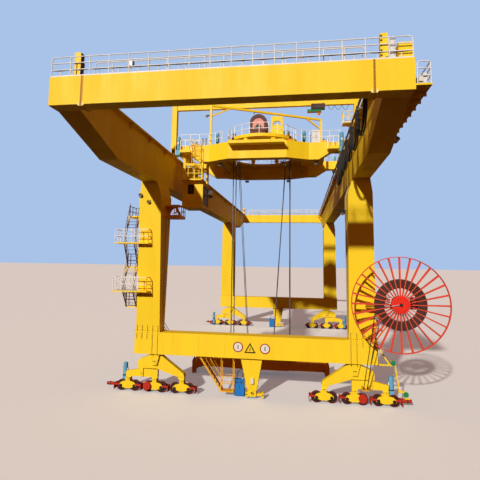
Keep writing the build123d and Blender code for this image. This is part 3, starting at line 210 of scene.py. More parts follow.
def plain(name, main, dark, rough, metal=0.0, scale=12.0, stretch=(1, 1, 1), bump=0.1):
    # one grain drives the shade, the gloss and the small unevenness
    mat, tree, shader, place = new_finish(name)
    shader.inputs["Metallic"].default_value = metal
    stretched = add(tree, "ShaderNodeMapping", {"Vector": place, "Scale": stretch}).outputs["Vector"]
    grain = noise(tree, stretched, scale, 5.0)
    tree.links.new(mixed(tree, grain, colour(main), colour(dark)), shader.inputs["Base Color"])
    tree.links.new(remap(tree, grain, 0.0, 1.0, rough - 0.1, rough + 0.15), shader.inputs["Roughness"])
    lift = add(tree, "ShaderNodeBump", {"Height": grain, "Strength": bump, "Distance": 0.003})
    tree.links.new(lift.outputs["Normal"], shader.inputs["Normal"])
    return mat


rail_steel = plain("rolled_rail_steel", "#8C8782", "#4E423A", 0.42, metal=0.8, scale=6.0,
                   stretch=(8, 0.6, 8))
wheel_steel = plain("dark_cast_steel_wheel", "#3A2420", "#1E1210", 0.55, metal=0.3, scale=14.0)
rope_steel = plain("greased_wire_rope", "#625E60", "#3C393A", 0.45, metal=0.5, scale=40.0)
rubber = plain("black_cable_rubber", "#23242A", "#141519", 0.6, scale=30.0, bump=0.05)
winding = plain("brown_reeled_cable", "#5A3024", "#33180F", 0.6, scale=30.0, bump=0.08)
zinc = plain("hot_dip_galvanised_steel", "#B9BCBE", "#8E9296", 0.5, metal=0.5, scale=25.0, bump=0.05)
# dark brown that stands for yellow steel in shade: painted shade on the stair stringers, the end stop ribs
# and the foot stiffeners
shade_brown = plain("brown_painted_shade", "#7A4A2C", "#4A2A18", 0.6, scale=16.0)
bolt_steel = plain("painted_over_bolt", "#DDA818", "#94680F", 0.45, scale=60.0, bump=0.05)
dark_bolt = plain("dull_black_bolt", "#5A4632", "#2E2318", 0.5, metal=0.4, scale=60.0, bump=0.05)
# dark paint of castings, also used as painted shade in the opening of the drum hood
black = plain("dark_casting_paint_and_painted_shade", "#26241F", "#15140F", 0.55, scale=20.0)
interior = plain("dark_cab_trim", "#2B2D31", "#1B1C1F", 0.7, scale=20.0)
sign_white = plain("white_sign_sheet", "#F4F3F0", "#DADAD6", 0.35, scale=20.0, bump=0.02)
sign_red = plain("red_sign_rim", "#C2402E", "#8E2A1E", 0.35, scale=20.0, bump=0.02)
sign_black = plain("dark_sign_rim", "#3A2C12", "#251C0C", 0.35, scale=20.0, bump=0.02)


def glass(name, tint, rough, clear):
    # a film of dust makes the gloss uneven
    mat, tree, shader, place = new_finish(name)
    shader.inputs["Base Color"].default_value = colour(tint)
    shader.inputs["IOR"].default_value = 1.5
    shader.inputs["Alpha"].default_value = clear
    film = noise(tree, place, 3.0, 4.0)
    tree.links.new(remap(tree, film, 0.0, 1.0, rough, rough + 0.18), shader.inputs["Roughness"])
    return mat


cab_glass = glass("tinted_cab_glass", "#3A4A44", 0.05, 0.62)
teal_glass = glass("teal_guard_sheet", "#6FA8A4", 0.2, 0.75)
lamp_glass = glass("frosted_lamp_glass", "#EEF2F5", 0.25, 1.0)
print("materials in all:", len(bpy.data.materials))

# %% [markdown]
# ## Paint for the carried-over nodes
# Every node keeps its CAD shape and gets the finish that the real piece has. A table of
# finish to node names is easier to check against the photograph than sixty single lines.

# %% Paint the nodes
wheel_nodes = [f"wheels_{n:02d}" for n in range(1, 13)]
finishes = {
    yellow: ["left_girder", "right_girder", "end_beams", "front_left_leg", "front_right_leg",
             "rear_left_leg", "rear_right_leg", "front_sill", "rear_sill", "portal_frame",
             "front_cross_beam", "rear_cross_beam", "ring_deck", "end_carriages", "cable_arch",
             "slewing_deck", "cab", "walkway", "main_equalisers", "second_equalisers",
             "bogie_frames", "rail_clamps", "cable_guide", "cab_hanger", "hoist_frame"],
    stair_yellow: ["stairs"],
    spreader_orange: ["spreader_frame", "spreader_arms"],
    red: ["wheel_guards"],
    reel_red: ["cable_reel"],
    hub_red: ["reel_stand"],
    blue: ["travel_motors", "trolley_drives"],
    pack_blue: ["power_packs"],
    green: ["service_hoist"],
    hood_brown: ["rope_drum"],
    white: ["girder_railings", "trolley_railings", "deck_railing", "leg_ladder"],
    cabinet: ["trolley_cabinet"],
    rail_steel: ["trolley_track", "festoon_track"],
    wheel_steel: ["front_trolley_wheels", "rear_trolley_wheels"] + wheel_nodes,
    rope_steel: ["hoist_ropes"],
    rubber: ["festoon_cables"],
    cab_glass: ["cab_glazing"],
}
for finish, names in finishes.items():
    for name in names:
        nodes[name].data.materials.clear()
        nodes[name].data.materials.append(finish)
unpainted = sorted(set(nodes) - {n for names in finishes.values() for n in names})
print("nodes without a finish:", unpainted)

# %% [markdown]
# ## Two colours on one piece
# Some welded pieces are painted in more than one colour, such as the reel with its brown
# cable between red spokes. The faces of the left end stops that turn away from the light take
# dark maroon, as painted shade. A test on the middle of each face picks the faces that take the
# second finish, so the CAD mesh itself stays as it is.

# %% Second finishes


def paint_where(name, finish, test):
    mesh = nodes[name].data
    if finish.name not in mesh.materials:
        mesh.materials.append(finish)
    place = mesh.materials.find(finish.name)
    count = 0
    for face in mesh.polygons:
        x, y, z = face.center
        if test(x * 1000 + MIDDLE, y * 1000, z * 1000, face.normal):
            face.material_index = place
            count += 1
    print(f"{name}: {count} faces in {finish.name}")


DRUM = (-92, 11435)


def from_reel(x, z):
    return math.hypot(x - REEL[0], z - REEL[2])


paint_where("cable_reel", winding,
            lambda x, y, z, n: abs(y - REEL[1]) < 43 and 558 < from_reel(x, z) < 872)
paint_where("cable_reel", hub_red, lambda x, y, z, n: from_reel(x, z) < 302)
paint_where("reel_stand", cabinet, lambda x, y, z, n: 4630 < x < 4895 and 3500 < z < 3915)
paint_where("reel_stand", dark_motor, lambda x, y, z, n: x > 5590)
paint_where("reel_stand", yellow, lambda x, y, z, n: x < 4634 or (x < 5032 and z < 3650 and y > -9590))
paint_where("trolley_track", yellow, lambda x, y, z, n: z > GIRDER_TOP + 66)
paint_where("cable_guide", orange, lambda x, y, z, n: z > 2320)
paint_where("rope_drum", hood_pink, lambda x, y, z, n: abs(n.y) > 0.9 and z > 11030)
paint_where("rope_drum", rope_steel,
            lambda x, y, z, n: math.hypot(x - DRUM[0], z - DRUM[1]) < 285 and -6220 < y < -5180)
paint_where("service_hoist", maroon, lambda x, y, z, n: z > 12455)
paint_where("service_hoist", orange, lambda x, y, z, n: z < 12330)
paint_where("hoist_frame", black, lambda x, y, z, n: z < 11300 and y > -5700)
paint_where("portal_frame", white, lambda x, y, z, n: 3600 < x < 4150 and 11250 < z < 11950)
# the faces of the left end stops that turn away from the light take dark maroon: painted shade
paint_where("trolley_track", maroon, lambda x, y, z, n: n.x > 0.9 and x < -3600 and z > GIRDER_TOP + 90)

# %% [markdown]
# ## A bolted joint in paint
# The end beams meet the girders at an upright joint with a close row of bolts. Each head is
# only a few millimetres high, so the row is drawn by the paint: dark dots on a darker strip
# with pale edges, a painted highlight where the flange edges catch the light. The dots follow
# Object coordinates, so they keep their true pitch.

# %% Joint paint
JOINT_X = 3.480
BOLT_X = 3.486
BOLT_PITCH = 0.031
joint_and_highlight_paint = yellow.copy()
joint_and_highlight_paint.name = "yellow_bolted_joint_and_painted_highlight"
tree = joint_and_highlight_paint.node_tree
axes = add(tree, "ShaderNodeSeparateXYZ", {0: add(tree, "ShaderNodeTexCoord").outputs["Object"]}).outputs
out = maths(tree, "ABSOLUTE", maths(tree, "ADD", axes["X"], MIDDLE / 1000))
in_row = maths(tree, "COMPARE", out, BOLT_X, 0.017)
in_strip = maths(tree, "COMPARE", out, JOINT_X, 0.036)
along = maths(tree, "FRACT", maths(tree, "DIVIDE", axes["Z"], BOLT_PITCH))
on_head = maths(tree, "GREATER_THAN", along, 0.35)
dots = maths(tree, "MULTIPLY", in_row, on_head)
# the pale yellow either side of the strip is a painted highlight on the flange edges
edges = mixed(tree, in_strip, colour("#FFEFA0"), colour("#E8A818"))
seam = mixed(tree, dots, edges, colour("#4A2A10"))
tree.links.new(seam, tree.nodes["Principled BSDF"].inputs["Base Color"])
paint_where("end_beams", joint_and_highlight_paint, lambda x, y, z, n: abs(y) > 15755 and abs(abs(x) - 3480) < 80)

# %% [markdown]
# ## The stairs
# The flights are brown, painted shade on steel that is yellow, the landing slabs yellow, the
# rails of the two front landings white and the treads bare zinc. A face belongs to a landing
# when it lies close to its level.

# %% Stairs
LANDINGS = (3200, 3890, 4780, 5740, 6880)
FRONT_LANDINGS = (3890, 5740)


def near(z, levels, low, high):
    return any(level + low < z < level + high for level in levels)


# the flights are yellow steel drawn in dark brown: painted shade
paint_where("stairs", shade_brown, lambda x, y, z, n: x < -4540 and z > 2600)
paint_where("stairs", zinc,
            lambda x, y, z, n: x < -4700 and abs(n.z) > 0.95 and not near(z, LANDINGS, -172, 2))
paint_where("stairs", white, lambda x, y, z, n: x < -4000 and near(z, FRONT_LANDINGS, 2, 545) and y < -8700)
paint_where("stairs", yellow, lambda x, y, z, n: x < -3900 and near(z, LANDINGS, -172, 2) and z > 3000)

# %% [markdown]
# ## Small steel parts from a few shapes
# Lamps, boxes and brackets are made of plate, tube and round bar. Helpers put a box, a round
# bar and a cut plate into a bmesh, and another turns the bmesh into a mesh, rounds its edges
# a little and hangs it on the body of the crane that carries it. Plain mesh code is right
# here, because each of these pieces is made once or twice.

# %% Shape helpers


def finish_faces(verts, finish):
    for face in {f for v in verts for f in v.link_faces}:
        face.material_index = finish


def put_box(bm, one, other, finish=0):
    # a box between two opposite corners, named in any order
    low, high = at(*map(min, one, other)), at(*map(max, one, other))
    size = Matrix.Diagonal((*(high - low), 1))
    made = bmesh.ops.create_cube(bm, size=1.0, matrix=Matrix.Translation((low + high) / 2) @ size)
    finish_faces(made["verts"], finish)


def put_bar(bm, start, end, radius, sides=12, finish=0, end_radius=None):
    start, end = at(*start), at(*end)
    line = end - start
    far = radius if end_radius is None else end_radius
    place = Matrix.Translation((start + end) / 2) @ line.to_track_quat("Z", "Y").to_matrix().to_4x4()
    made = bmesh.ops.create_cone(bm, cap_ends=True, segments=sides, radius1=radius / 1000,
                                 radius2=far / 1000, depth=line.length, matrix=place)
    finish_faces(made["verts"], finish)


def put_disc(bm, start, axis, reach, radius, sides=12, finish=0, end_radius=None):
    # a round bar that runs from its start along one axis
    end = list(start)
    end["xyz".index(axis)] += reach
    put_bar(bm, start, end, radius, sides, finish, end_radius)


def circle(middle, radius, count, shift=0.0):
    # equal steps round a circle, as pairs of places on its two axes
    steps = [2 * math.pi * (k + shift) / count for k in range(count)]
    return [(middle[0] + radius * math.cos(a), middle[1] + radius * math.sin(a)) for a in steps]


def put_plate(bm, outline, thick, finish=0):
    near = [bm.verts.new(at(*p)) for p in outline]
    far = [bm.verts.new(v.co + Vector(thick) / 1000) for v in near]
    bm.faces.new(near)
    bm.faces.new(far[::-1])
    for i, v in enumerate(near):
        after = (i + 1) % len(near)
        bm.faces.new((v, far[i], far[after], near[after]))
    finish_faces(near, finish)
    finish_faces(far, finish)


def hang(name, bm, finishes, body, edge=0.0):
    bmesh.ops.recalc_face_normals(bm, faces=bm.faces)
    mesh = bpy.data.meshes.new(name)
    bm.to_mesh(mesh)
    bm.free()
    for finish in finishes:
        mesh.materials.append(finish)
    mesh.polygons.foreach_set("use_smooth", [True] * len(mesh.polygons))
    mesh.set_sharp_from_angle(angle=0.6)
    made = bpy.data.objects.new(name, mesh)
    bpy.context.scene.collection.objects.link(made)
    if edge:
        bevel = made.modifiers.new("rolled_edges", "BEVEL")
        bevel.width = edge / 1000
        bevel.segments = 2
        bevel.limit_method = "ANGLE"
    if body:
        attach(made, body)
    return made


# %% [markdown]
# ## Things by the hundred
# Bolts, discs, bars and tubes repeat along the whole crane, which is work for Geometry
# Nodes. Four trees do it all. The first stands a hexagon head on a washer at every point
# of a mesh and turns it to the way that the point faces. The next two do the same with a
# plain box and a disc. The last draws a tube along a path. Each ends in real geometry, and
# the result is kept as a plain mesh so that it can ride on one body of the crane.

# %% Trees


def new_tree(name, sockets):
    tree = bpy.data.node_groups.new(name, "GeometryNodeTree")
    tree.interface.new_socket(name="Base", in_out="INPUT", socket_type="NodeSocketGeometry")
    for label, kind, value in sockets:
        made = tree.interface.new_socket(name=label, in_out="INPUT", socket_type=kind)
        if value is not None:
            made.default_value = value
    tree.interface.new_socket(name="Shape", in_out="OUTPUT", socket_type="NodeSocketGeometry")
    return tree, add(tree, "NodeGroupInput").outputs


def close_tree(tree, shape, finish):
    real = add(tree, "GeometryNodeRealizeInstances", {"Geometry": shape}).outputs[0]
    painted = add(tree, "GeometryNodeSetMaterial", {"Geometry": real, "Material": finish}).outputs[0]
    add(tree, "NodeGroupOutput", {"Shape": painted})
    return tree


def spread(tree, points, shape):
    facing = add(tree, "GeometryNodeInputNamedAttribute", {"Name": "facing"}, data_type="FLOAT_VECTOR")
    turn = add(tree, "FunctionNodeAlignRotationToVector", {"Vector": facing.outputs["Attribute"]}, axis="Z")
    placed = add(tree, "GeometryNodeInstanceOnPoints", {"Points": points, "Instance": shape,
                                                        "Rotation": turn.outputs[0]})
    return placed.outputs[0]


def bolt_tree():
    tree, given = new_tree("hexagon_bolts", [("Across", "NodeSocketFloat", 0.03),
                                             ("Finish", "NodeSocketMaterial", None)])
    half, tall, wide, thin = [maths(tree, "MULTIPLY", given["Across"], share)
                              for share in (0.5, 0.62, 0.8, 0.16)]
    head = add(tree, "GeometryNodeMeshCylinder", {"Vertices": 6, "Radius": half, "Depth": tall}).outputs[0]
    washer = add(tree, "GeometryNodeMeshCylinder", {"Vertices": 10, "Radius": wide,
                                                    "Depth": thin}).outputs[0]
    lift = add(tree, "ShaderNodeCombineXYZ", {"Z": half}).outputs[0]
    raised = add(tree, "GeometryNodeTransform", {"Geometry": head, "Translation": lift}).outputs[0]
    joined = add(tree, "GeometryNodeJoinGeometry")
    tree.links.new(raised, joined.inputs[0])
    tree.links.new(washer, joined.inputs[0])
    return close_tree(tree, spread(tree, given["Base"], joined.outputs[0]), given["Finish"])


def bar_tree():
    tree, given = new_tree("bars_on_points", [("Size", "NodeSocketVector", (0.1, 0.01, 0.03)),
                                              ("Finish", "NodeSocketMaterial", None)])
    shape = add(tree, "GeometryNodeMeshCube", {"Size": given["Size"]}).outputs[0]
    return close_tree(tree, spread(tree, given["Base"], shape), given["Finish"])


def disc_tree():
    tree, given = new_tree("discs_on_points", [("Radius", "NodeSocketFloat", 0.05),
                                               ("Depth", "NodeSocketFloat", 0.01),
                                               ("Sides", "NodeSocketInt", 24),
                                               ("Finish", "NodeSocketMaterial", None)])
    shape = add(tree, "GeometryNodeMeshCylinder", {"Vertices": given["Sides"], "Radius": given["Radius"],
                                                   "Depth": given["Depth"]}).outputs[0]
    return close_tree(tree, spread(tree, given["Base"], shape), given["Finish"])


def tube_tree():
    tree, given = new_tree("tube_on_a_path", [("Radius", "NodeSocketFloat", 0.02),
                                              ("Flat", "NodeSocketFloat", 1.0),
                                              ("Steps", "NodeSocketInt", 12),
                                              ("Finish", "NodeSocketMaterial", None)])
    line = add(tree, "GeometryNodeMeshToCurve", {"Mesh": given["Base"]}).outputs[0]
    kind = add(tree, "GeometryNodeCurveSplineType", {"Curve": line}, spline_type="CATMULL_ROM").outputs[0]
    fine = add(tree, "GeometryNodeSetSplineResolution", {"Geometry": kind, "Resolution": given["Steps"]})
    ring = add(tree, "GeometryNodeCurvePrimitiveCircle", {"Resolution": 8, "Radius": given["Radius"]})
    squeeze = add(tree, "ShaderNodeCombineXYZ", {"X": 1.0, "Y": given["Flat"], "Z": 1.0}).outputs[0]
    profile = add(tree, "GeometryNodeTransform", {"Geometry": ring.outputs[0], "Scale": squeeze}).outputs[0]
    skin = add(tree, "GeometryNodeCurveToMesh", {"Curve": fine.outputs[0], "Profile Curve": profile,
                                                 "Fill Caps": True}).outputs[0]
    smooth = add(tree, "GeometryNodeSetShadeSmooth", {"Geometry": skin}).outputs[0]
    return close_tree(tree, smooth, given["Finish"])


trees = {"bolts": bolt_tree(), "bars": bar_tree(), "discs": disc_tree(), "tube": tube_tree()}
print("trees:", [t.name for t in trees.values()])

# %% [markdown]
# ## From a tree to a piece
# A tree is laid on a mesh of points or of edges. What it makes is read back as a plain mesh,
# which then rides on one body. Points carry the way that they face, and a path is a line of
# places joined by edges.

# %% Grow a mesh from a tree


def grow(name, base, kind, body, **sizes):
    tree = trees[kind]
    made = bpy.data.objects.new(name, base)
    bpy.context.scene.collection.objects.link(made)
    maker = made.modifiers.new("maker", "NODES")
    maker.node_group = tree
    for item in tree.interface.items_tree:
        if item.item_type == "SOCKET" and item.in_out == "INPUT" and item.name.lower() in sizes:
            maker[item.identifier] = sizes[item.name.lower()]
    ready = bpy.context.evaluated_depsgraph_get()
    done = bpy.data.meshes.new_from_object(made.evaluated_get(ready))
    made.modifiers.clear()
    made.data = done
    done.name = name
    if body:
        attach(made, body)
    return made


def points(places):
    # places are pairs of a point in millimetres and the way that it faces
    mesh = bpy.data.meshes.new("points")
    mesh.from_pydata([at(*place) for place, way in places], [], [])
    facing = mesh.attributes.new("facing", "FLOAT_VECTOR", "POINT")
    facing.data.foreach_set("vector", [c for place, way in places for c in way])
    return mesh


def tubes(name, lines, body, radius, finish, steps=1):
    # one tube along each line of places, rounded in as many steps between two of them
    mesh = bpy.data.meshes.new("lines")
    places, edges = [], []
    for line in lines:
        edges += [(len(places) + i, len(places) + i + 1) for i in range(len(line) - 1)]
        places += [at(*p) for p in line]
    mesh.from_pydata(places, edges, [])
    return grow(name, mesh, "tube", body, radius=radius, steps=steps, finish=finish)


def bolts(name, places, body, across, finish):
    return grow(name, points(places), "bolts", body, across=across, finish=finish)



print("shape helpers ready")

# %% [markdown]
# ## Railings of tube
# The photograph shows three tubes on each post, round bends at the corners and short
# brackets that hold the kick strip between the posts. A railing is a path with posts at
# equal steps, so its lines are worked out and the tube tree gives them their roundness.
# These railings stand where the plain square ones of the CAD model stand and replace them.

# %% Railings
RAIL_H = 525
RAIL_TUBE = 14
BEND = 90
LOWER_LEVELS = (0.67, 0.34)
WALK_Z = 8990


def straight_rail(start, end, bays, kick=True):
    # posts, three tubes with bent ends and a kick strip, from one corner to the other
    a, b = Vector(start), Vector(end)
    way = (b - a).normalized()
    top = RAIL_H - RAIL_TUBE
    lines = []
    for k in range(bays + 1):
        foot = a.lerp(b, k / bays)
        rise = top - (0 if 0 < k < bays else BEND - 2)
        lines.append([foot, foot + Vector((0, 0, rise))])
        if kick and k < bays:
            middle = a.lerp(b, (k + 0.5) / bays)
            lines.append([middle, middle + Vector((0, 0, 130))])
    for share in LOWER_LEVELS:
        lift = Vector((0, 0, RAIL_H * share))
        lines.append([a + lift, b + lift])
    turns = [t * math.pi / 10 for t in range(6)]
    bend = [(BEND * (1 - math.cos(t)), top - BEND + BEND * math.sin(t)) for t in turns]
    first = [a + way * run + Vector((0, 0, rise)) for run, rise in bend]
    last = [b - way * run + Vector((0, 0, rise)) for run, rise in reversed(bend)]
    lines.append(first + last)
    return lines


edge = GIRDER_OUT - 26
rail_lines = []
for side in SIDES:
    for half, out, bays, kick in ((edge, END_Y - 20, 17, True), (3360, END_Y - 395, 14, False)):
        y = side * out
        rail_lines += straight_rail((-half, y, GIRDER_TOP), (half, y, GIRDER_TOP), bays, kick)
rail_lines += straight_rail((4680, -END_Y + 40, WALK_Z), (4680, END_Y - 40, WALK_Z), 30)
hoop = [(4400, 8990), (4400, 9430), (4410, 9470), (4440, 9495), (4480, 9501), (4670, 9501)]
for side in SIDES:
    for run in (hoop, [(4400, 9340), (4680, 9340)], [(4400, 9170), (4680, 9170)]):
        rail_lines.append([(x, side * (END_Y - 40), z) for x, z in run])
railings = tubes("girder_tube_railings", rail_lines, "gantry", RAIL_TUBE / 1000, white)
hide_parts("girder_railings")
print("railing lines:", len(rail_lines), "faces:", len(railings.data.polygons))

# %% [markdown]
# ## Kick strips and end stops on the girder ends
# Along the foot of each railing runs a white kick strip. The end stops have a pad that the
# trolley strikes, and short ribs on the right ones are painted dark brown as painted shade,
# so they read as dark notches.

# %% Kick strips and end stops
strip = bmesh.new()
for side in SIDES:
    put_box(strip, (-edge, side * (END_Y - 12), GIRDER_TOP + 2), (edge, side * (END_Y - 4), GIRDER_TOP + 34))
put_box(strip, (4690, -END_Y + 40, 8992), (4698, END_Y - 40, 9060))
hang("kick_strips", strip, [white], "gantry", edge=2)

stops = bmesh.new()
for side in SIDES:
    for x in (-TRACK_X, TRACK_X):
        # the ribs on the right stops take dark brown: painted shade
        for z in (60, 170, 290, 410, 530, 640) if x > 0 else ():
            put_box(stops, (x - 100, side * (END_Y - 200), GIRDER_TOP + z),
                    (x - 60, side * (END_Y - 176), GIRDER_TOP + z + 30), 2)
        put_disc(stops, (x, side * (END_Y - 285), GIRDER_TOP + 700), "z", 45, 80, 20, end_radius=50)
        put_disc(stops, (x, side * (END_Y - 470), 10060), "y", side * 70, 52, 20, 1)
hang("end_stop_ribs", stops, [yellow, black, shade_brown], "gantry", edge=3)
print("end stops dressed")

# %% [markdown]
# ## Cabinets at the front end
# Beside the right end stop stands a pale switch cabinet with three doors. A pale lamp box
# hangs on the front railing, and behind it stand two aerials and the gear of the walkway.

# %% Switch cabinet and lamp box
FRONT = -END_Y
boxes = bmesh.new()
put_box(boxes, (3838, FRONT + 70, GIRDER_TOP + 30), (3968, FRONT + 230, GIRDER_TOP + 500))
for z in (GIRDER_TOP + 45, GIRDER_TOP + 200, GIRDER_TOP + 355):
    put_box(boxes, (3846, FRONT + 64, z), (3960, FRONT + 72, z + 130))
    put_disc(boxes, (3946, FRONT + 58, z + 65), "y", 10, 9, 10, 1)
for x in (3856, 3950):
    put_box(boxes, (x - 12, FRONT + 60, GIRDER_TOP), (x + 12, FRONT + 100, GIRDER_TOP + 40), 1)
hang("switch_cabinet", boxes, [cabinet, black], "gantry", edge=4)

lamp = bmesh.new()
put_box(lamp, (-2310, FRONT + 30, 9780), (-2200, FRONT + 120, 9920))
put_box(lamp, (-2300, FRONT + 24, 9790), (-2210, FRONT + 32, 9910), 1)
put_box(lamp, (-2198, FRONT + 40, 9790), (-2180, FRONT + 110, 9910), 2)
put_disc(lamp, (-2255, FRONT + 75, 9590), "z", 200, 12, 8)
# slim pale aerials behind the front railing
for x, tall in ((3090, 360), (3300, 380)):
    for k, radius in ((0, 52), (0.35, 34), (0.7, 14)):
        put_disc(lamp, (x, -15300, GIRDER_TOP + k * tall), "z", 0.3 * tall, radius, 10, 0, radius * 0.6)
# limit switches and brake gear at the end of the walkway
put_box(lamp, (4450, -15560, 9005), (4560, -15460, 9240))
put_box(lamp, (4575, -15500, 9005), (4660, -15420, 9330))
put_disc(lamp, (4500, -15300, 9120), "x", 140, 70, 14)
put_disc(lamp, (4420, -15600, 9005), "z", 155, 30, 10, 2)
hang("front_lamp_box", lamp, [cabinet, lamp_glass, black], "gantry", edge=4)
print("front end dressed")

# %% [markdown]
# ## Power cable along the end railing
# A thin black cable is tied to the lower tube and sags a little between posts. Its points
# are one low and one high for each bay, and the tube tree rounds the line.

# %% Railing cable
SAGS = 34
sag = [(-edge + k * 2 * edge / SAGS, FRONT + 36, GIRDER_TOP + 178 - 16 * (k % 2)) for k in range(SAGS + 1)]
tubes("railing_cable", [sag], "gantry", 0.009, rubber, 3)
print("cable points:", len(sag))

# %% [markdown]
# ## Gratings to walk on
# Walkways and landings are open gratings of flat bars set on edge. At this scale bars are
# 17 mm apart. They are drawn at about twice that pitch, as 14 mm high bars on the deck, so
# that a piece stays under its budget of faces.

# %% Gratings


def grating(name, low, high, z, step):
    # bars that run across, one step after the other
    count = int((high[1] - low[1]) / step)
    middle = (low[0] + high[0]) / 2
    places = [((middle, low[1] + k * step, z), (0, 0, 1)) for k in range(count + 1)]
    print(name, "bars:", count + 1)
    return grow(name, points(places), "bars", "gantry", size=((high[0] - low[0]) / 1000, 0.005, 0.014),
                finish=zinc)


grating("walkway_grating", (4356, -END_Y + 30), (4672, END_Y - 30), WALK_Z + 3, 36)
for number, z in enumerate((3202, 4782)):
    grating(f"rear_landing_grating_{number + 1}", (-5215, -8490), (-4455, -8140), z, 30)
for number, z in enumerate((3892, 5742)):
    grating(f"front_landing_grating_{number + 1}", (-5310, -9510), (-4410, -9000), z, 30)
grating("top_landing_grating", (-5215, -8490), (-4455, -7800), 6882, 30)

# %% [markdown]
# ## Bolts where the crane is put together
# The crane comes to its yard in pieces. Girder ends, leg feet and rail clips are bolted, so
# rows of hexagon heads on washers stand there. Each row is only a list of points and the
# way that they face, and the bolt tree does the rest. The heads of the girder joints are
# sunk almost level with the plate, as the joint is flush on the outside.

# %% Bolted joints
UP, DOWN = (0, 0, 1), (0, 0, -1)
FLANGE_Z = 2331


def row(first, last, step, facing):
    a, b = Vector(first), Vector(last)
    count = max(1, round((b - a).length / step))
    return [(tuple(a.lerp(b, k / count)), facing) for k in range(count + 1)]


splice = []
for x in (-3466, 3494):
    for side in SIDES:
        y = side * (END_Y - 9)
        splice += row((x, y, 8925), (x, y, 9545), 31, (0, side, 0))
bolts("splice_bolts", splice, "gantry", 0.024, dark_bolt)

feet = []
for sx, sy in CORNERS:
    y = sy * SILL_Y
    for side in SIDES:
        feet += row((sx * 3590, y + side * 286, FLANGE_Z), (sx * 4520, y + side * 286, FLANGE_Z), 66, UP)
    for x in (3548, 4534):
        feet += row((sx * x, y - 250, FLANGE_Z), (sx * x, y + 250, FLANGE_Z), 70, UP)
bolts("leg_foot_bolts", feet, "gantry", 0.026, bolt_steel)

clips = []
for sx in SIDES:
    for gap in (-58, 58):
        x = sx * TRACK_X + gap
        clips += row((x, -15200, GIRDER_TOP + 8), (x, 15200, GIRDER_TOP + 8), 300, UP)
grow("rail_clip_plates", points(clips), "bars", "gantry", size=(0.05, 0.06, 0.016), finish=yellow)
clip_heads = [((x, y, z + 8), way) for (x, y, z), way in clips]
bolts("rail_clip_bolts", clip_heads, "gantry", 0.022, dark_bolt)
print("bolts:", len(splice) + len(feet) + len(clips))

# %% [markdown]
# ## Weld seams
# Long box girders are welded from plates about 2.5 m wide at this scale. Each butt weld
# shows as a thin raised line, on the girders, the end beams and the legs.

# %% Weld seams
seams = bmesh.new()
for x in (-2350, -300, 1250, 2300):
    for side in SIDES:
        put_box(seams, (x - 4, side * (END_Y - 14), 8852), (x + 4, side * (END_Y - 10), 9560))
for y in range(-12200, 12300, 2440):
    for sx in SIDES:
        for x in (3719, 4351):
            put_box(seams, (sx * (x - 2), y - 4, 8152), (sx * (x + 2), y + 4, 9540))
        put_box(seams, (sx * 3722, y - 4, 8147), (sx * 4348, y + 4, 8151))
for sx, sy in CORNERS:
    for z in (3900, 5600):
        leg_half = 280 + 420 * (z - 2300) / 5850
        for side in SIDES:
            y = sy * SILL_Y + side * leg_half
            put_box(seams, (sx * 3575, y - 3, z - 4), (sx * 4470, y + 3, z + 4))
hang("weld_seams", seams, [yellow], "gantry")
print("seams made")

# %% [markdown]
# ## Manholes
# Inspection covers with a ring of bolts close the openings that welders climbed through.
# They are oval plates under each girder.

# %% Inspection covers
hatches = bmesh.new()
hatch_bolts = []
for sx in SIDES:
    for y in (-11000, 0, 11000):
        rim = [(sx * 4035 + 150 * c, y + 230 * s, 8150) for c, s in circle((0, 0), 1, 24)]
        put_plate(hatches, rim, (0, 0, -8))
        hatch_bolts += [((sx * 4035 + 128 * c, y + 205 * s, 8142), DOWN) for c, s in circle((0, 0), 1, 12)]
hang("girder_inspection_covers", hatches, [yellow], "gantry", edge=2)
bolts("cover_bolts", hatch_bolts, "gantry", 0.018, dark_bolt)
print("covers made:", len(hatch_bolts) // 12)

# %% [markdown]
# ## Sign plates
# Three plates are fixed to the middle of the front sill: two round ones with a red rim and a
# triangle with a dark rim. Their faces hold a plain bar in place of a picture.

# %% Sign plates
signs = bmesh.new()
front = -SILL_FACE
for x, z in ((-482, 1890), (528, 1863)):
    put_disc(signs, (x, front - 8, z), "y", 8, 190, 40, 1)
    put_disc(signs, (x, front - 11, z), "y", 3, 150, 40, 0)
    put_box(signs, (x - 16, front - 13, z - 74), (x + 16, front - 11, z + 74), 2)
for size, lift, finish in ((1.0, 8, 2), (0.66, 11, 3)):
    half, tall = 215 * size, 372 * size
    base = 1812 - 124 * size
    put_plate(signs, [(-30 - half, front - lift, base), (-30 + half, front - lift, base),
                      (-30, front - lift, base + tall)], (0, 3, 0), finish)
put_box(signs, (-46, front - 13, 1768), (-14, front - 11, 1880), 2)
hang("sill_sign_plates", signs, [sign_white, sign_red, sign_black, yellow], "gantry")
print("signs made")

# %% [markdown]
# ## Floodlights and small lamps
# The lamps of such a crane are cast housings with fins at the back, a frosted pane and a
# bent strap that lets them be tilted. One function makes a lamp in any place and turn.

# %% Floodlight


def floodlight(bm, place, aim, wide=200, tall=140, deep=90):
    # housing, pane, fins and strap, turned so that the pane faces the aim
    start = set(bm.verts)
    half_w, half_t = wide / 2, tall / 2

    def part(x0, x1, half_y, z0, z1, finish=0):
        put_box(bm, (MIDDLE + x0, -half_y, z0), (MIDDLE + x1, half_y, z1), finish)

    part(-half_w, half_w, half_t, 0, deep)
    part(10 - half_w, half_w - 10, half_t - 10, deep, deep + 6, 1)
    for k in range(6):
        x = 20 - half_w + k * (wide - 40) / 5
        part(x - 3, x + 3, half_t - 8, -22, 1)
    for side in SIDES:
        x = side * (half_w + 8)
        part(x - 4, x + 4, 14, -80, deep / 2)
    part(-half_w - 10, half_w + 10, 14, -88, -80)
    turn = Vector(aim).to_track_quat("Z", "Y").to_matrix().to_4x4()
    move = Matrix.Translation(at(*place)) @ turn
    bmesh.ops.transform(bm, matrix=move, verts=[v for v in bm.verts if v not in start])


print("floodlight ready")

# %% [markdown]
# ## Lamps of the gantry
# Pairs of floodlights hang on arms under the walkway, and smaller ones hang by the front
# legs. Thin conduits lead to them from the girder and up the front legs.

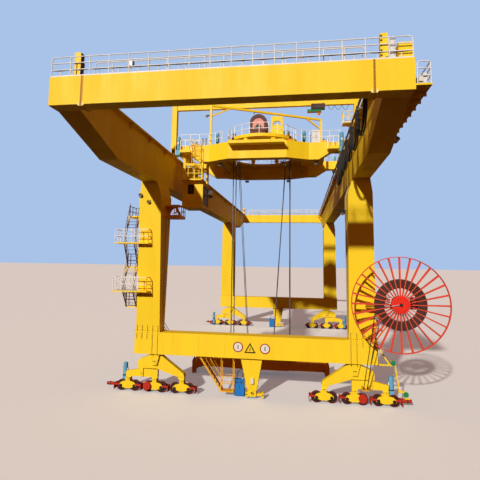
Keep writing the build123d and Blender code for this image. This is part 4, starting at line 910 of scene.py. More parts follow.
# %% Lamps of the gantry
GIRDER_LAMPS = (-12440, -4000, 4000, 12440)
lamps = bmesh.new()
for y in GIRDER_LAMPS:
    put_bar(lamps, (4500, y, 8850), (4640, y, 8760), 14, 8)
    floodlight(lamps, (4590, y - 60, 8720), (0.25, -0.45, -1))
    floodlight(lamps, (4600, y + 160, 8720), (0.25, 0.4, -1), 170, 120)
for y in (-8586, -8800):
    put_disc(lamps, (3560, y, 7040), "x", -90, 14, 8)
    floodlight(lamps, (3440, y, 6980), (-0.6, -0.4, -1), 150, 110, 70)
put_bar(lamps, (-4380, -9330, 7560), (-4380, -9420, 7600), 12, 8)
floodlight(lamps, (-4380, -9470, 7600), (0.1, -0.7, -0.8), 120, 90, 60)
put_disc(lamps, (-4040, -9200, 7330), "y", -200, 10, 8)
floodlight(lamps, (-4040, -9450, 7330), (0.1, -0.6, -0.9), 110, 80, 50)
hang("gantry_floodlights", lamps, [black, lamp_glass], "gantry", edge=3)

conduit = [[(4360, y, 8930), (4500, y, 8850), (4500, y, 8850), (4590, y, 8790)] for y in GIRDER_LAMPS]
conduit += [[(3545, -8600, 7100), (3545, -8600, 7610), (3705, -8600, 8130)],
            [(3545, -8690, 2400), (3545, -8690, 5200), (3545, -8690, 7610), (3705, -8690, 8130)],
            [(-3545, -8690, 2400), (-3545, -8690, 5200), (-3545, -8690, 6700)]]
tubes("lamp_conduits", conduit, "gantry", 0.011, zinc)
print("lamps made")

# %% [markdown]
# ## Stiffeners at the leg feet
# Each leg stands on the sill with a bolted flange. Short upright ribs above and below it keep
# the flange flat. They lie in a row on the outer faces and are painted dark brown, painted
# shade, so that they read as dark strokes from a distance.

# %% Foot stiffeners
ribs = bmesh.new()
for sx, sy in CORNERS:
    face, middle = sy * (SILL_Y + 301), sy * (SILL_Y + 296)
    for k in range(5):
        x = sx * (3620 + 210 * k)
        low = 1410 if k < 2 else 2060
        put_box(ribs, (x - 8, face, low), (x + 8, face + sy * 8, 2290))
        put_box(ribs, (x - 22, face, 2270), (x + 22, face + sy * 8, 2290))
        put_box(ribs, (x - 8, middle - 8, 2345), (x + 8, middle + 8, 2560))
# the ribs take dark brown: painted shade
hang("foot_stiffeners", ribs, [shade_brown], "gantry", edge=2)
print("stiffeners made")

# %% [markdown]
# ## The festoon
# Flat cables feed the trolley. They hang in loops from small carriers that roll in a track
# on the inner side of the right girder. Each loop is several cables side by side, so every
# cable is a path through the low points and the clamps, and the tube tree rounds it.

# %% Festoon
FESTOON_X = 3410
FESTOON_TOP = GIRDER_TOP - 290
SPANS = (1500, 1450, 1400, 1300, 1000, 700, 480)
HANG = ((0.05, 0.40), (0.14, 0.70), (0.30, 0.86), (0.50, 0.91), (0.70, 0.86), (0.86, 0.70), (0.95, 0.40))
stops_y = [-END_Y + 850]
for span in SPANS:
    stops_y.append(stops_y[-1] + span)
festoon_lines = []
for cable in range(5):
    x = FESTOON_X - 44 + cable * 22
    for n, span in enumerate(SPANS):
        deep = (1020 if n < 5 else 1120) - 14 * (cable % 3)
        y = stops_y[n]
        low = [(x, y + run * span, FESTOON_TOP - drop * deep) for run, drop in HANG]
        festoon_lines.append([(x, y + 8, FESTOON_TOP), *low, (x, y + span - 8, FESTOON_TOP)])
loops = tubes("festoon_loops", festoon_lines, None, 0.011, rubber, 4)
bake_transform(loops)

hangers = bmesh.new()
for y in stops_y:
    put_box(hangers, (3372, y - 26, 9285), (3430, y + 26, 9300), 0)
    put_box(hangers, (3380, y - 45, 9300), (3424, y + 45, 9385), 1)
    put_box(hangers, (3366, y - 40, 9268), (3440, y + 40, 9284), 1)
    for side in SIDES:
        put_disc(hangers, (3408, y + side * 30, 9410), "x", 28, 20, 14, 0)
        put_disc(hangers, (3396, y + side * 30, 9385), "z", 27, 5, 8, 1)
carriers = hang("festoon_carriers", hangers, [zinc, black], None)
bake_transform(carriers)
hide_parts("festoon_cables")
print("festoon cables:", len(festoon_lines), "carriers:", len(stops_y))

# %% [markdown]
# ## Turns of cable on the reel
# The supply cable lies on the reel in a flat spiral, one turn on the other, and the spokes
# hold it from both sides. A spiral path and the tube tree make each face of the coil. From
# the reel two taut runs go down to a guide on the foot of the crane. They are held at both
# ends, so they are straight, and they are no free cords.

# %% Reel windings
REEL_X, REEL_Y, REEL_Z = REEL
TURNS = 11
STEPS = 40


def coil(y):
    places = []
    for k in range(STEPS * TURNS + 1):
        a = 2 * math.pi * k / STEPS
        r = 574 + 282 * k / (STEPS * TURNS)
        places.append((REEL_X + r * math.cos(a), y, REEL_Z + r * math.sin(a)))
    return places


for side, name in ((-1, "front_coil_turns"), (1, "rear_coil_turns")):
    tubes(name, [coil(REEL_Y + side * 40)], "reel", 0.0125, winding)
print("turns of cable:", TURNS)

# %% [markdown]
# ## Spokes and hub of the reel
# Two dished sets of spokes hold the coil. Each spoke is covered by a thin plate that gets
# wider outwards, with a bolt near each end, and the hub carries a red disc with a ring of
# bolts and a shaft end.

# %% Reel steel
SPOKES = 28


def dished(r, hub):
    # how far the outer face of a spoke lies from the reel's middle plane
    return hub - 25 * (r - 190) / 1438


reel_steel = bmesh.new()
for c, s in circle((0, 0), 1, SPOKES):
    for side in SIDES:
        ends = []
        for r, wide in ((262, 11), (1610, 27)):
            middle = Vector((REEL_X + r * c, REEL_Y + side * dished(r, 72), REEL_Z + r * s))
            across = Vector((-s, 0, c)) * wide
            ends.append((middle - across, middle + across))
        corners = [ends[0][0], ends[0][1], ends[1][1], ends[1][0]]
        put_plate(reel_steel, corners, (0, side * 6, 0), 4)
    for side in SIDES:
        for r in (330, 1560):
            y = REEL_Y + side * dished(r, 60) + side * 8
            put_disc(reel_steel, (REEL_X + r * c, y, REEL_Z + r * s), "y", side * 12, 12, 6, 1)
for side in SIDES:
    y = REEL_Y + side * 94
    put_disc(reel_steel, (REEL_X, y, REEL_Z), "y", side * 14, 255, 40, 0)
    put_disc(reel_steel, (REEL_X, y + side * 14, REEL_Z), "y", side * 46, 60, 24, 2, 45)
    for x, z in circle((REEL_X, REEL_Z), 215, 14, 0.5):
        put_disc(reel_steel, (x, y + side * 14, z), "y", side * 10, 14, 6, 1)
put_bar(reel_steel, (REEL_X - 60, REEL_Y - 168, REEL_Z + 10),
        (REEL_X - 330, REEL_Y - 100, REEL_Z - 60), 14, 8, 3)
hang("reel_hub_fittings", reel_steel, [hub_red, dark_bolt, black, zinc, reel_red], "reel")
print("spokes:", 2 * SPOKES)

# %% [markdown]
# ## From the reel to the ground
# Two runs of cable leave the reel past an orange guide and end in a yellow bracket on the
# crane's foot, and a short one joins the guide to the stand. Green guide wheels near the
# ground would lead the cable into its trench.

# %% Supply cables and guides
supply = [[(4356, -9806, 3378), (4205, -9806, 2437), (4009, -9300, 724)],
          [(4480, -9806, 2980), (4301, -9806, 2276), (4141, -9290, 797)],
          [(4372, -9806, 3150), (4640, -9740, 3010), (4700, -9735, 2960)]]
tubes("reel_supply_cables", supply, "gantry", 0.014, rubber, 6)

guide = bmesh.new()
put_box(guide, (3960, -9320, 640), (4190, -9060, 662))
for x in (3960, 4174):
    put_box(guide, (x, -9320, 662), (x + 16, -9060, 780))
for x in (4010, 4140):
    put_disc(guide, (x, -9330, 735), "y", 68, 30, 20, 1)
for x, z in ((4400, 3330), (4250, 2480)):
    put_disc(guide, (x, -9830, z), "y", 230, 16, 10, 1)
for x0, z0, x1, z1 in ((4240, 2500, 4330, 2330), (4400, 3330, 4560, 3180)):
    put_bar(guide, (x0, -9815, z0), (x1, -9815, z1), 15, 10, 2)
hang("cable_foot_bracket", guide, [stair_yellow, black, orange], "gantry", edge=3)

sheave = bmesh.new()
for y, deep, r in ((-8962, 6, 84), (-8956, 52, 66), (-8904, 6, 84)):
    put_disc(sheave, (5080, y, 1555), "y", deep, r, 28, 0)
for y, deep, r in ((-8905, 60, 70), (-8904, 6, 96), (-8852, 6, 96)):
    put_disc(sheave, (5500, y, 480), "y", deep, r, 28, 0)
for x in range(4600, 5200, 90):
    put_disc(sheave, (x, -8905, 1495), "z", -115, 7, 6, 1)
hang("guide_sheaves", sheave, [green, zinc], "gantry", edge=2)
print("supply cables:", len(supply))

# %% [markdown]
# ## Drives and machinery on the trolley
# Each upright motor has cooling fins round its drum, a fan cowl on top and a brake below. The
# fins are equal rings, so they are points on the motor's middle line, and the disc tree puts
# a thin disc on each.

# %% Motor fins and cowls
trolley_motors = [(sx * 3555, TROLLEY_Y + sy * 2090) for sx, sy in CORNERS]
fins = [((x, y, z), UP) for x, y in trolley_motors for z in range(10010, 10440, 36)]
grow("trolley_motor_fins", points(fins), "discs", "trolley",
     radius=0.088, depth=0.008, sides=20, finish=blue)

cowls = bmesh.new()
for x, y in trolley_motors:
    out = -1 if y < TROLLEY_Y else 1
    side = 1 if x > 0 else -1
    put_disc(cowls, (x, y, 10470), "z", 82, 90, 24, 0, 70)
    put_disc(cowls, (x, y, 9950), "z", 40, 104, 24, 2)
    put_box(cowls, (x - 35, y + out * 80, 10200), (x + 35, y + out * 118, 10300), 1)
    put_box(cowls, (x + side * 90 - 8, y - 100, 9800), (x + side * 90 + 8, y + 60, 9900), 2)
    for px, py in circle((x, y), 90, 6):
        put_disc(cowls, (px, py, 9985), "z", 19, 8, 6, 2)
hang("trolley_motor_cowls", cowls, [blue, cabinet, black], "trolley", edge=3)
print("motors:", len(trolley_motors), "fins:", len(fins))

# %% [markdown]
# ## Slewing ring and rope drum
# Between the trolley and the slewing deck stands a ring with a rack of teeth that a pinion
# drives. A tooth is one plate, and the bar tree stands 150 of them round the ring. The rope
# drum is grooved, and the rope lies in the grooves as one long helix.

# %% Ring and drum
TEETH = 150
RING_BOLTS = 60
teeth = [((1668 * c, TROLLEY_Y + 1668 * s, 10080), (c, s, 0)) for c, s in circle((0, 0), 1, TEETH)]
grow("slewing_ring_teeth", points(teeth), "bars", "trolley", size=(0.05, 0.03, 0.018), finish=dark_bolt)

ring_bolts = [((x, y, 10781), UP) for x, y in circle((0, TROLLEY_Y), 1560, RING_BOLTS)]
bolts("slewing_deck_bolts", ring_bolts, "slewing_hoist", 0.028, bolt_steel)

DRUM_X, DRUM_Z = DRUM
ROPE_STEPS = 24 * 26
helix = []
for k in range(ROPE_STEPS + 1):
    a = 2 * math.pi * k / 24
    helix.append((DRUM_X + 279 * math.cos(a), -6170 + 940 * k / ROPE_STEPS, DRUM_Z + 279 * math.sin(a)))
tubes("drum_rope", [helix], "slewing_hoist", 0.014, rope_steel)
print("teeth:", TEETH, "turns of rope:", ROPE_STEPS // 24)

# %% [markdown]
# ## Machinery on the slewing deck
# Behind the drum hood stand the hoist motor with its cooling rings, a gearbox, brake discs
# behind a teal guard, pale switch cabinets and two slim lamps at the front corners.

# %% Deck machinery
BRAKE_X = 740
MOTOR_Y = -5530
MOTOR_Z = 11100
machinery = bmesh.new()
for y, thick in ((-5738, 4), (-5862, -4)):
    put_disc(machinery, (BRAKE_X, y, 11280), "y", thick, 205, 36, 0)
put_box(machinery, (556, -5806, 11180), (924, -5794, 11440), 5)
for k in range(9):
    put_disc(machinery, (460 + 70 * k, MOTOR_Y, MOTOR_Z), "x", 6, 158, 24, 1)
put_disc(machinery, (380, MOTOR_Y, MOTOR_Z), "x", 52, 120, 24, 1)
put_disc(machinery, (700, MOTOR_Y, 11240), "z", 90, 40, 12, 1)
put_disc(machinery, (520, -4900, 11160), "x", -80, 130, 24, 1)
for y in (-4960, -4720):
    put_disc(machinery, (BRAKE_X, y, 11240), "y", 60, 60, 16, 1)
put_box(machinery, (-560, -6120, 10780), (-420, -5560, 11060), 2)
put_box(machinery, (-554, -6126, 10800), (-426, -6119, 11040), 2)
put_box(machinery, (-600, -4900, 10780), (-380, -4480, 11300), 2)
for y in (-4800, -4580):
    put_box(machinery, (-608, y - 90, 10800), (-600, y + 90, 11280), 2)
put_box(machinery, (1180, -5700, 10780), (1330, -5200, 10980), 3)
put_disc(machinery, (1255, -5640, 10980), "z", 200, 70, 20, 1)
for sx in SIDES:
    put_disc(machinery, (sx * 1250, -6010, 10640), "z", 290, 60, 18, 3)
    put_disc(machinery, (sx * 1250, -6010, 10930), "z", 130, 76, 18, 4)
hang("hoist_machinery", machinery, [yellow, black, cabinet, orange, blue, teal_glass],
     "slewing_hoist", edge=4)
print("deck machinery made")

# %% [markdown]
# ## The drum hood
# The hood is an arch of brown sheet over the rope drum, with welded ribs along it. Its front
# is a dark arch of plate round the pink end. The opening that the ropes leave by is a black
# box and disc, painted shade that stands for the dark inside.

# %% Drum hood
HOOD_Z = 11475
HOOD_FRONT = -6304


def arc(radius, tall, middle_z, steps):
    # an upright half circle round the drum's middle line, from right to left
    turns = [math.pi * k / steps for k in range(steps + 1)]
    return [(DRUM_X + radius * math.cos(a), middle_z + tall * math.sin(a)) for a in turns]


hood = bmesh.new()
for x, z in arc(398, 398 * 0.985, HOOD_Z, 8):
    put_disc(hood, (x, -6300, z), "y", 1200, 9, 6, 0)
for x, z in circle((DRUM_X, HOOD_Z), 375, 32, 0.5)[:16]:
    put_disc(hood, (x, -6306, z), "y", 8, 9, 6, 1)
outer_arc, inner_arc = arc(392, 386, HOOD_Z, 16), arc(262, 262, 11400, 16)
for k in range(16):
    corners = (outer_arc[k], outer_arc[k + 1], inner_arc[k + 1], inner_arc[k])
    put_plate(hood, [(x, HOOD_FRONT, z) for x, z in corners], (0, -6, 0), 1)
for a, b in ((-484, -354), (170, 300)):
    put_box(hood, (a, HOOD_FRONT - 6, 11050), (b, HOOD_FRONT, HOOD_Z), 1)
# a black box and disc where the opening is: painted shade
put_box(hood, (-292, -6316, 11060), (108, HOOD_FRONT, 11250), 2)
for z in range(11075, 11236, 40):
    put_box(hood, (-280, -6320, z), (96, -6314, z + 12), 1)
put_disc(hood, (DRUM_X, -6314, 11250), "y", 10, 130, 24, 2)
hang("drum_hood_front", hood, [hood_brown, maroon, black], "slewing_hoist", edge=2)
print("hood made")

# %% [markdown]
# ## Fittings on the cross beams
# The front cross beam carries the ledge with its kick plate, a pale cabinet with doors, motors
# and the brackets that lead cables along.

# %% Cross beam fittings
BEAM_TOP = 10200
LEDGE_Y = -6960
fittings = bmesh.new()
for sx in SIDES:
    for x, y in ((1216, -7654), (2196, -7154)):
        put_box(fittings, (sx * x - 4, y, 9456), (sx * x + 4, y + 6, 10196), 0)
for x in (2336, 2510):
    put_box(fittings, (x, -7117, 10215), (x + 164, -7110, 10740), 1)
for x in (2485, 2525):
    put_box(fittings, (x - 5, -7124, 10450), (x + 5, -7116, 10520), 2)
put_box(fittings, (2320, -7120, 10756), (2690, -6890, 10775), 1)
for x in (-2500, -2350, 2250):
    put_disc(fittings, (x, -7100, BEAM_TOP), "z", 280, 10, 8, 2)
    put_box(fittings, (x - 40, -7130, 10440), (x + 40, -7070, 10520), 2)
put_box(fittings, (-2560, -7060, BEAM_TOP), (-2410, LEDGE_Y, 10420), 1)
for sx in SIDES:
    for x in (2830, 3010):
        put_box(fittings, (sx * x - 70, -7000, BEAM_TOP), (sx * x + 70, -6920, 10330), 3)
        put_disc(fittings, (sx * x, LEDGE_Y, 10330), "z", 60, 30, 12, 2)
# two upright motors with ringed housings
for x in (-1860, 1986):
    put_disc(fittings, (x, LEDGE_Y, 10196), "z", 184, 58, 16, 2)
    put_disc(fittings, (x, LEDGE_Y, 10380), "z", 340, 78, 20, 4)
    put_disc(fittings, (x, LEDGE_Y, 10720), "z", 80, 70, 20, 4, 50)
    for z in range(10410, 10700, 36):
        put_disc(fittings, (x, LEDGE_Y, z), "z", 8, 86, 20, 4)
for x, half in ((-1150, 75), (1390, 85)):
    put_box(fittings, (x - half, -7040, BEAM_TOP), (x + half, -6920, 10420), 5)
    put_disc(fittings, (x, -6980, 10420), "z", 140, 54, 14, 2)
hang("cross_beam_fittings", fittings, [yellow, cabinet, black, stair_yellow, blue, orange],
     "trolley", edge=3)
print("cross beam dressed")

# %% [markdown]
# ## Lamps and conduits of the trolley
# Under the beams hang floodlights that light the container. Black conduits lead along the
# beams and up the arch that carries the cable over the slewing deck.

# %% Trolley lamps and conduits
beam_lamps = bmesh.new()
for x, y in ((-1700, -7000), (1100, -7200), (2500, -6900), (-1000, -3100), (1200, -3100)):
    put_disc(beam_lamps, (x, y, 9450), "z", -70, 14, 8)
    floodlight(beam_lamps, (x, y, 9330), (0, -0.25, -1), 180, 130, 60)
put_bar(beam_lamps, (-2150, -7060, 11600), (-2300, -7100, 11600), 10, 8)
floodlight(beam_lamps, (-2330, -7110, 11560), (-0.4, -0.6, -0.7), 130, 100, 60)
hang("trolley_floodlights", beam_lamps, [black, lamp_glass], "trolley", edge=3)

tray = []
for sx in SIDES:
    tray.append([(sx * 1300, -7180, 9462), (sx * 1300, -3220, 9462)])
    tray.append([(sx * 1850, -6880, 9640), (sx * 1850, -3520, 9640)])
tray += [[(2820, -4800, 12000), (2820, -4790, 11500), (2815, -4790, 10100)],
         [(-2150, -7000, 12050), (-1200, -6560, 12100), (-400, -6200, 12080), (-300, -6180, 11900)],
         [(3150, -6980, 10220), (3300, -7150, 9900), (3420, -7080, 9700)]]
tubes("trolley_conduits", tray, "trolley", 0.014, rubber, 3)

ARCH_FEET = ((-2150, -7060, 10200), (2820, -4800, 10050))
arch_bolts = []
deck_plates = bmesh.new()
for x, y, z in ARCH_FEET:
    arch_bolts += [((x + 70 * sx, y + 70 * sy, z + 5), UP) for sy, sx in CORNERS]
    put_box(deck_plates, (x - 100, y - 100, z), (x + 100, y + 100, z + 12))
bolts("arch_foot_bolts", arch_bolts, "trolley", 0.026, dark_bolt)
hang("arch_feet", deck_plates, [yellow], "trolley", edge=3)
print("trolley dressed")

# %% [markdown]
# ## Wheels and bogies
# A crane wheel turns on an axle held by keeper plates, and its rim is worn red brown. Hub
# caps with a ring of bolts ride on the wheels, so that they are seen to turn.

# %% Wheels
wheel_lines = []
for bogie_x in (PIVOT_X - 2 * WHEEL_PITCH, PIVOT_X, PIVOT_X + 2 * WHEEL_PITCH):
    wheel_lines += [bogie_x - WHEEL_PITCH / 2, bogie_x + WHEEL_PITCH / 2]
wheel_places = sorted([-x for x in wheel_lines] + wheel_lines)


def wheel_caps(x):
    caps = bmesh.new()
    for sy in SIDES:
        for side in SIDES:
            y = sy * SILL_Y + side * 126
            put_disc(caps, (x, y, WHEEL_Z), "y", side * 12, 62, 24, 0)
            put_disc(caps, (x, y + side * 12, WHEEL_Z), "y", side * 10, 34, 18, 0)
            for px, pz in circle((x, WHEEL_Z), 48, 6):
                put_disc(caps, (px, y + side * 12, pz), "y", side * 7, 6, 6, 1)
        for side in SIDES:
            y = sy * SILL_Y + side * 46
            for px, pz in circle((x, WHEEL_Z), 130, 8):
                put_disc(caps, (px, y - side, pz), "y", side * 6, 20, 10, 2)
            # a thin red ring round the wheel's face, as 32 short bars
            ring = circle((x, WHEEL_Z), 196, 32)
            for (x0, z0), (x1, z1) in zip(ring, ring[1:] + ring[:1]):
                put_bar(caps, (x0, y + side * 2, z0), (x1, y + side * 2, z1), 5, 5, 3)
    return caps


for number, x in enumerate(wheel_places, 1):
    hang(f"wheel_caps_{number:02d}", wheel_caps(x), [wheel_steel, dark_bolt, maroon, red],
         f"wheels_{number:02d}_axle")
print("wheel lines dressed:", len(wheel_places))

# %% [markdown]
# ## Pins and travel motors
# Pin caps close the joints of the equalisers, each with a keeper plate. The travel motors
# stand upright beside the outer bogies, with a tapered cowl, rings of fins, a terminal box
# and a flange with bolts at the gearbox.

# %% Pins and motors
MOTOR_X = PIVOT_X + 2.5 * WHEEL_PITCH
PIN_SIZES = [(PIVOT_X, 1150, 211, 78), (PIVOT_X + WHEEL_PITCH, 680, 121, 58)]
PIN_SIZES += [(PIVOT_X + way * 2 * WHEEL_PITCH, 470, 126, 50) for way in (-1, 0, 1)]
pins = bmesh.new()
motor_rings = []
for sx, sy in CORNERS:
    for px, pz, reach, radius in PIN_SIZES:
        for side in SIDES:
            y = sy * SILL_Y + side * reach
            put_disc(pins, (sx * px, y, pz), "y", side * 12, radius, 24, 0)
            put_box(pins, (sx * px - radius * 0.8, y, pz + radius * 0.45),
                    (sx * px + radius * 0.8, y + side * 20, pz + radius * 0.75), 1)
    x, y = sx * (MOTOR_X - 35), sy * (SILL_Y - 210)
    put_disc(pins, (x, y, 960), "z", 46, 92, 24, 2, 74)
    put_disc(pins, (x, y, 512), "z", 33, 108, 24, 3)
    put_box(pins, (x - sx * 75 - 35, y - 38, 700), (x - sx * 75 + 35, y + 38, 790), 4)
    motor_rings += [((x, y, z), UP) for z in range(560, 950, 34)]
    flange_y = sy * (SILL_Y - 291)
    for px, pz in circle((x, 300), 80, 8):
        put_disc(pins, (px, flange_y, pz), "y", sy * 10, 9, 6, 3)
hang("equaliser_pins", pins, [yellow, dark_bolt, blue, black, cabinet], "gantry", edge=3)
grow("travel_motor_fins", points(motor_rings), "discs", "gantry",
     radius=0.095, depth=0.008, sides=20, finish=blue)
print("motor fins:", len(motor_rings))

# %% [markdown]
# ## Wheel guards
# The red guards carry a round cover with a ring of bolts, bolt heads down their outer edge
# and, at each corner of the crane, a black rubber buffer with its foot.

# %% Guards
covers = bmesh.new()
for sx, sy in CORNERS:
    x, y = sx * (PIVOT_X + WHEEL_PITCH / 2), sy * (SILL_Y + 220)
    put_disc(covers, (x, y, 260), "y", sy * 8, 120, 28, 0)
    put_disc(covers, (x, y + sy * 8, 260), "y", sy * 18, 44, 20, 0, 34)
    for px, pz in circle((x, 260), 102, 8, 0.5):
        put_disc(covers, (px, y + sy * 8, pz), "y", sy * 8, 8, 6, 1)
    for z in (150, 205, 250):
        for side in SIDES:
            put_disc(covers, (sx * (MOTOR_X + 262), sy * SILL_Y + side * 100, z), "x", sx * 6, 9, 6, 1)
    put_disc(covers, (sx * 5690, sy * SILL_Y, 230), "x", sx * 28, 66, 24, 2, 52)
    put_disc(covers, (sx * 5560, sy * SILL_Y, 230), "x", sx * 40, 74, 24, 1)
hang("guard_fittings", covers, [red, dark_bolt, black], "gantry", edge=3)
print("guards dressed")

# %% [markdown]
# ## Power packs and clamp fittings
# The blue packs beside the rail clamps are sheet metal cupboards with doors, louvres and
# handles. The clamps have hinge pins, a grey terminal box and bolted faces. Black hoses lead
# from each pack to its clamp.

# %% Power packs and clamps
packs = bmesh.new()
hoses = []
for sy in SIDES:
    sill, front = sy * SILL_Y, sy * (SILL_Y - 20)
    for x0, x1 in ((-636, -462), (-453, -279)):
        put_box(packs, (x0, front, 72), (x1, front + sy * 10, 622), 0)
        for z in range(480, 577, 16):
            root = 8 if sy < 0 else 9
            put_box(packs, (x0 + 24, front + sy * root, z), (x1 - 24, front + sy * 13, z + 7), 1)
    for x in (-474, -441):
        put_box(packs, (x - 5, front + sy * 10, 330), (x + 5, front + sy * 18, 400), 1)
    put_disc(packs, (-560, front - sy * 60, 635), "z", 33, 34, 16, 1)
    put_disc(packs, (-350, front - sy * 120, 635), "z", 55, 22, 14, 2)
    for x in (-230, 20, 260):
        put_box(packs, (x - 4, sill + sy * 170, 420), (x + 4, sill + sy * 178, 1470), 3)
    put_box(packs, (4, sill + sy * 246, 566), (106, sill + sy * 256, 774), 2)
    for x in (-160, 430):
        put_disc(packs, (x, sill - 112, 150), "y", 224, 26, 16, 4)
    put_disc(packs, (40, sill - 212, 240), "y", 424, 34, 20, 4)
    hoses.append([(-350, sill - sy * 120, 680), (-330, sill - sy * 100, 820), (-180, sill - sy * 40, 760),
                  (-60, sill, 420)])
    hoses.append([(-560, sill - sy * 60, 660), (-520, sill - sy * 40, 900), (-300, sill - sy * 20, 1000),
                  (-120, sill, 520)])
hang("power_pack_doors", packs, [pack_blue, black, cabinet, yellow, dark_bolt], "gantry", edge=2)
tubes("clamp_hoses", hoses, "gantry", 0.013, rubber, 6)
print("low gear dressed")

# %% [markdown]
# ## The cab
# The cab is a welded steel room with panes on three sides. Inside stands a seat between two
# control consoles, each with a lever.

# %% Inside of the cab
CAB_LOW, CAB_HIGH = GIRDER_TOP - 2180, GIRDER_TOP - 1000
CAB_FRONT, CAB_BACK = TROLLEY_Y - 1950, TROLLEY_Y - 760
SEAT_X = -2900
room = bmesh.new()
put_box(room, (-3120, -6800, CAB_LOW + 41), (-2700, -6200, CAB_LOW + 70), 0)
put_disc(room, (SEAT_X, -6480, CAB_LOW + 70), "z", 140, 45, 14, 0)
put_box(room, (-3040, -6620, CAB_LOW + 210), (-2760, -6340, CAB_LOW + 262), 1)
put_plate(room, [(-3040, -6350, CAB_LOW + 240), (-2760, -6350, CAB_LOW + 240),
                 (-2770, -6290, CAB_LOW + 590), (-3030, -6290, CAB_LOW + 590)], (0, 46, 6), 1)
for side in SIDES:
    x, lever = SEAT_X + side * 230, SEAT_X + side * 225
    put_box(room, (x - 60, -6760, CAB_LOW + 70), (x + 60, -6340, CAB_LOW + 330), 2)
    put_bar(room, (x, -6600, CAB_LOW + 330), (lever, -6610, CAB_LOW + 410), 9, 8, 0)
    put_bar(room, (lever, -6610, CAB_LOW + 405), (lever, -6612, CAB_LOW + 440), 19, 12, 0)
hang("cab_seat_and_consoles", room, [interior, black, cabinet], "trolley", edge=6)
print("cab furnished")

# %% [markdown]
# ## Outside of the cab
# Thin bars divide the side pane, black strips frame it and the small front pane, a rain strip
# runs over them and two lamps hang beside the right wall.

# %% Trim of the cab
trim = bmesh.new()
# bars and a frame on the big side pane
for k in (1, 2):
    y = CAB_FRONT + 110 + k * (CAB_BACK - CAB_FRONT - 220) / 3
    put_box(trim, (-2466, y - 10, CAB_LOW + 158), (-2444, y + 10, CAB_HIGH - 188), 0)
put_box(trim, (-2466, CAB_FRONT + 108, CAB_LOW + 560), (-2444, CAB_BACK - 108, CAB_LOW + 580), 0)
for z in (CAB_LOW + 150, CAB_HIGH - 198):
    put_box(trim, (-2446, CAB_FRONT + 96, z), (-2436, CAB_BACK - 96, z + 16), 1)
for y in (CAB_FRONT + 96, CAB_BACK - 112):
    put_box(trim, (-2446, y, CAB_LOW + 150), (-2436, y + 16, CAB_HIGH - 182), 1)
# the frame of the small front pane
for x in (-3122, -2852):
    put_box(trim, (x, CAB_FRONT - 8, CAB_HIGH - 574), (x + 14, CAB_FRONT + 2, CAB_HIGH - 146), 1)
for z in (CAB_HIGH - 574, CAB_HIGH - 160):
    put_box(trim, (-3122, CAB_FRONT - 8, z), (-2838, CAB_FRONT + 2, z + 14), 1)
# rain strip, foot strips, the door with its handle and two seams
put_box(trim, (-3380, CAB_FRONT - 14, CAB_HIGH - 8), (-2430, CAB_BACK + 14, CAB_HIGH + 4), 0)
put_box(trim, (-3376, CAB_FRONT - 6, CAB_LOW - 6), (-2434, CAB_FRONT + 2, CAB_LOW + 30), 0)
put_box(trim, (-2444, CAB_FRONT - 6, CAB_LOW - 6), (-2434, CAB_BACK + 6, CAB_LOW + 30), 0)
put_box(trim, (-3378, -6700, CAB_LOW + 60), (-3368, -6160, CAB_HIGH - 120), 0)
put_box(trim, (-3386, -6230, CAB_LOW + 560), (-3376, -6200, CAB_LOW + 640), 1)
for x in (-2780, -2560):
    put_box(trim, (x - 4, CAB_FRONT - 5, CAB_LOW + 30), (x + 4, CAB_FRONT + 1, CAB_HIGH - 10), 0)
hang("cab_trim", trim, [yellow, black], "trolley", edge=2)

spot = bmesh.new()
put_bar(spot, (-2440, -6900, 8330), (-2310, -6900, 8250), 16, 8)
put_bar(spot, (-2440, -6900, 7900), (-2310, -6900, 8100), 14, 8)
floodlight(spot, (-2200, -6930, 8150), (0.6, -0.5, -0.5), 240, 200, 130)
floodlight(spot, (-2190, -6700, 7950), (0.6, -0.3, -0.8), 170, 130, 90)
put_bar(spot, (-2310, -6900, 8250), (-2230, -6920, 8170), 14, 8)
put_bar(spot, (-2310, -6900, 8100), (-2210, -6710, 7990), 12, 8)
hang("cab_floodlights", spot, [black, lamp_glass], "trolley", edge=3)
print("cab dressed")

# %% [markdown]
# ## Spreader
# The head block of the spreader has a sheave at each rope fall, and the beams carry corner
# guides, web stiffeners and green signal lamps.

# %% Spreader gear
gear = bmesh.new()
for x in (-1330, 1330):
    for y in (-5620, -4780):
        for side in SIDES:
            put_disc(gear, (x + side * 22, y, 850), "x", side * 12, 92, 24, 1)
        put_disc(gear, (x - 24, y, 850), "x", 48, 70, 24, 2)
for x in (-560, 560):
    for y in (-5350, -5050):
        for start in (-106, 96):
            put_disc(gear, (x + start, y, 850), "x", 10, 74, 24, 1)
for sx in SIDES:
    for y in (-5780, -4620):
        put_box(gear, (sx * 2970 - 70, y - 30, 560), (sx * 2970 + 70, y + 30, 640), 0)
        put_disc(gear, (sx * 2970, y, 640), "z", 80, 34, 16, 3, 26)
    for x in (1700, 2000, 2300, 2600):
        for y in (-5532, -4868):
            put_box(gear, (sx * x - 5, y - 5, 268), (sx * x + 5, y + 5, 618), 0)
for x in (-1100, -400, 400, 1100):
    for y in (-5534, -4866):
        put_box(gear, (x - 6, y - 5, 238), (x + 6, y + 5, 698), 0)
put_box(gear, (-300, -5320, 700), (-60, -5080, 870), 4)
put_box(gear, (100, -5300, 700), (340, -5100, 830), 5)
put_disc(gear, (-420, -5200, 830), "x", 100, 60, 18, 4)
hang("spreader_gear", gear, [stair_yellow, stair_yellow, dark_bolt, green, black, cabinet],
     "spreader", edge=3)
print("spreader dressed")

# %% [markdown]
# ## Small hoist on the portal
# The small hoist has a grooved drum, a ribbed motor and a hook on a block with two orange
# cheeks. Its flat cable hangs in three short loops from the portal beam.

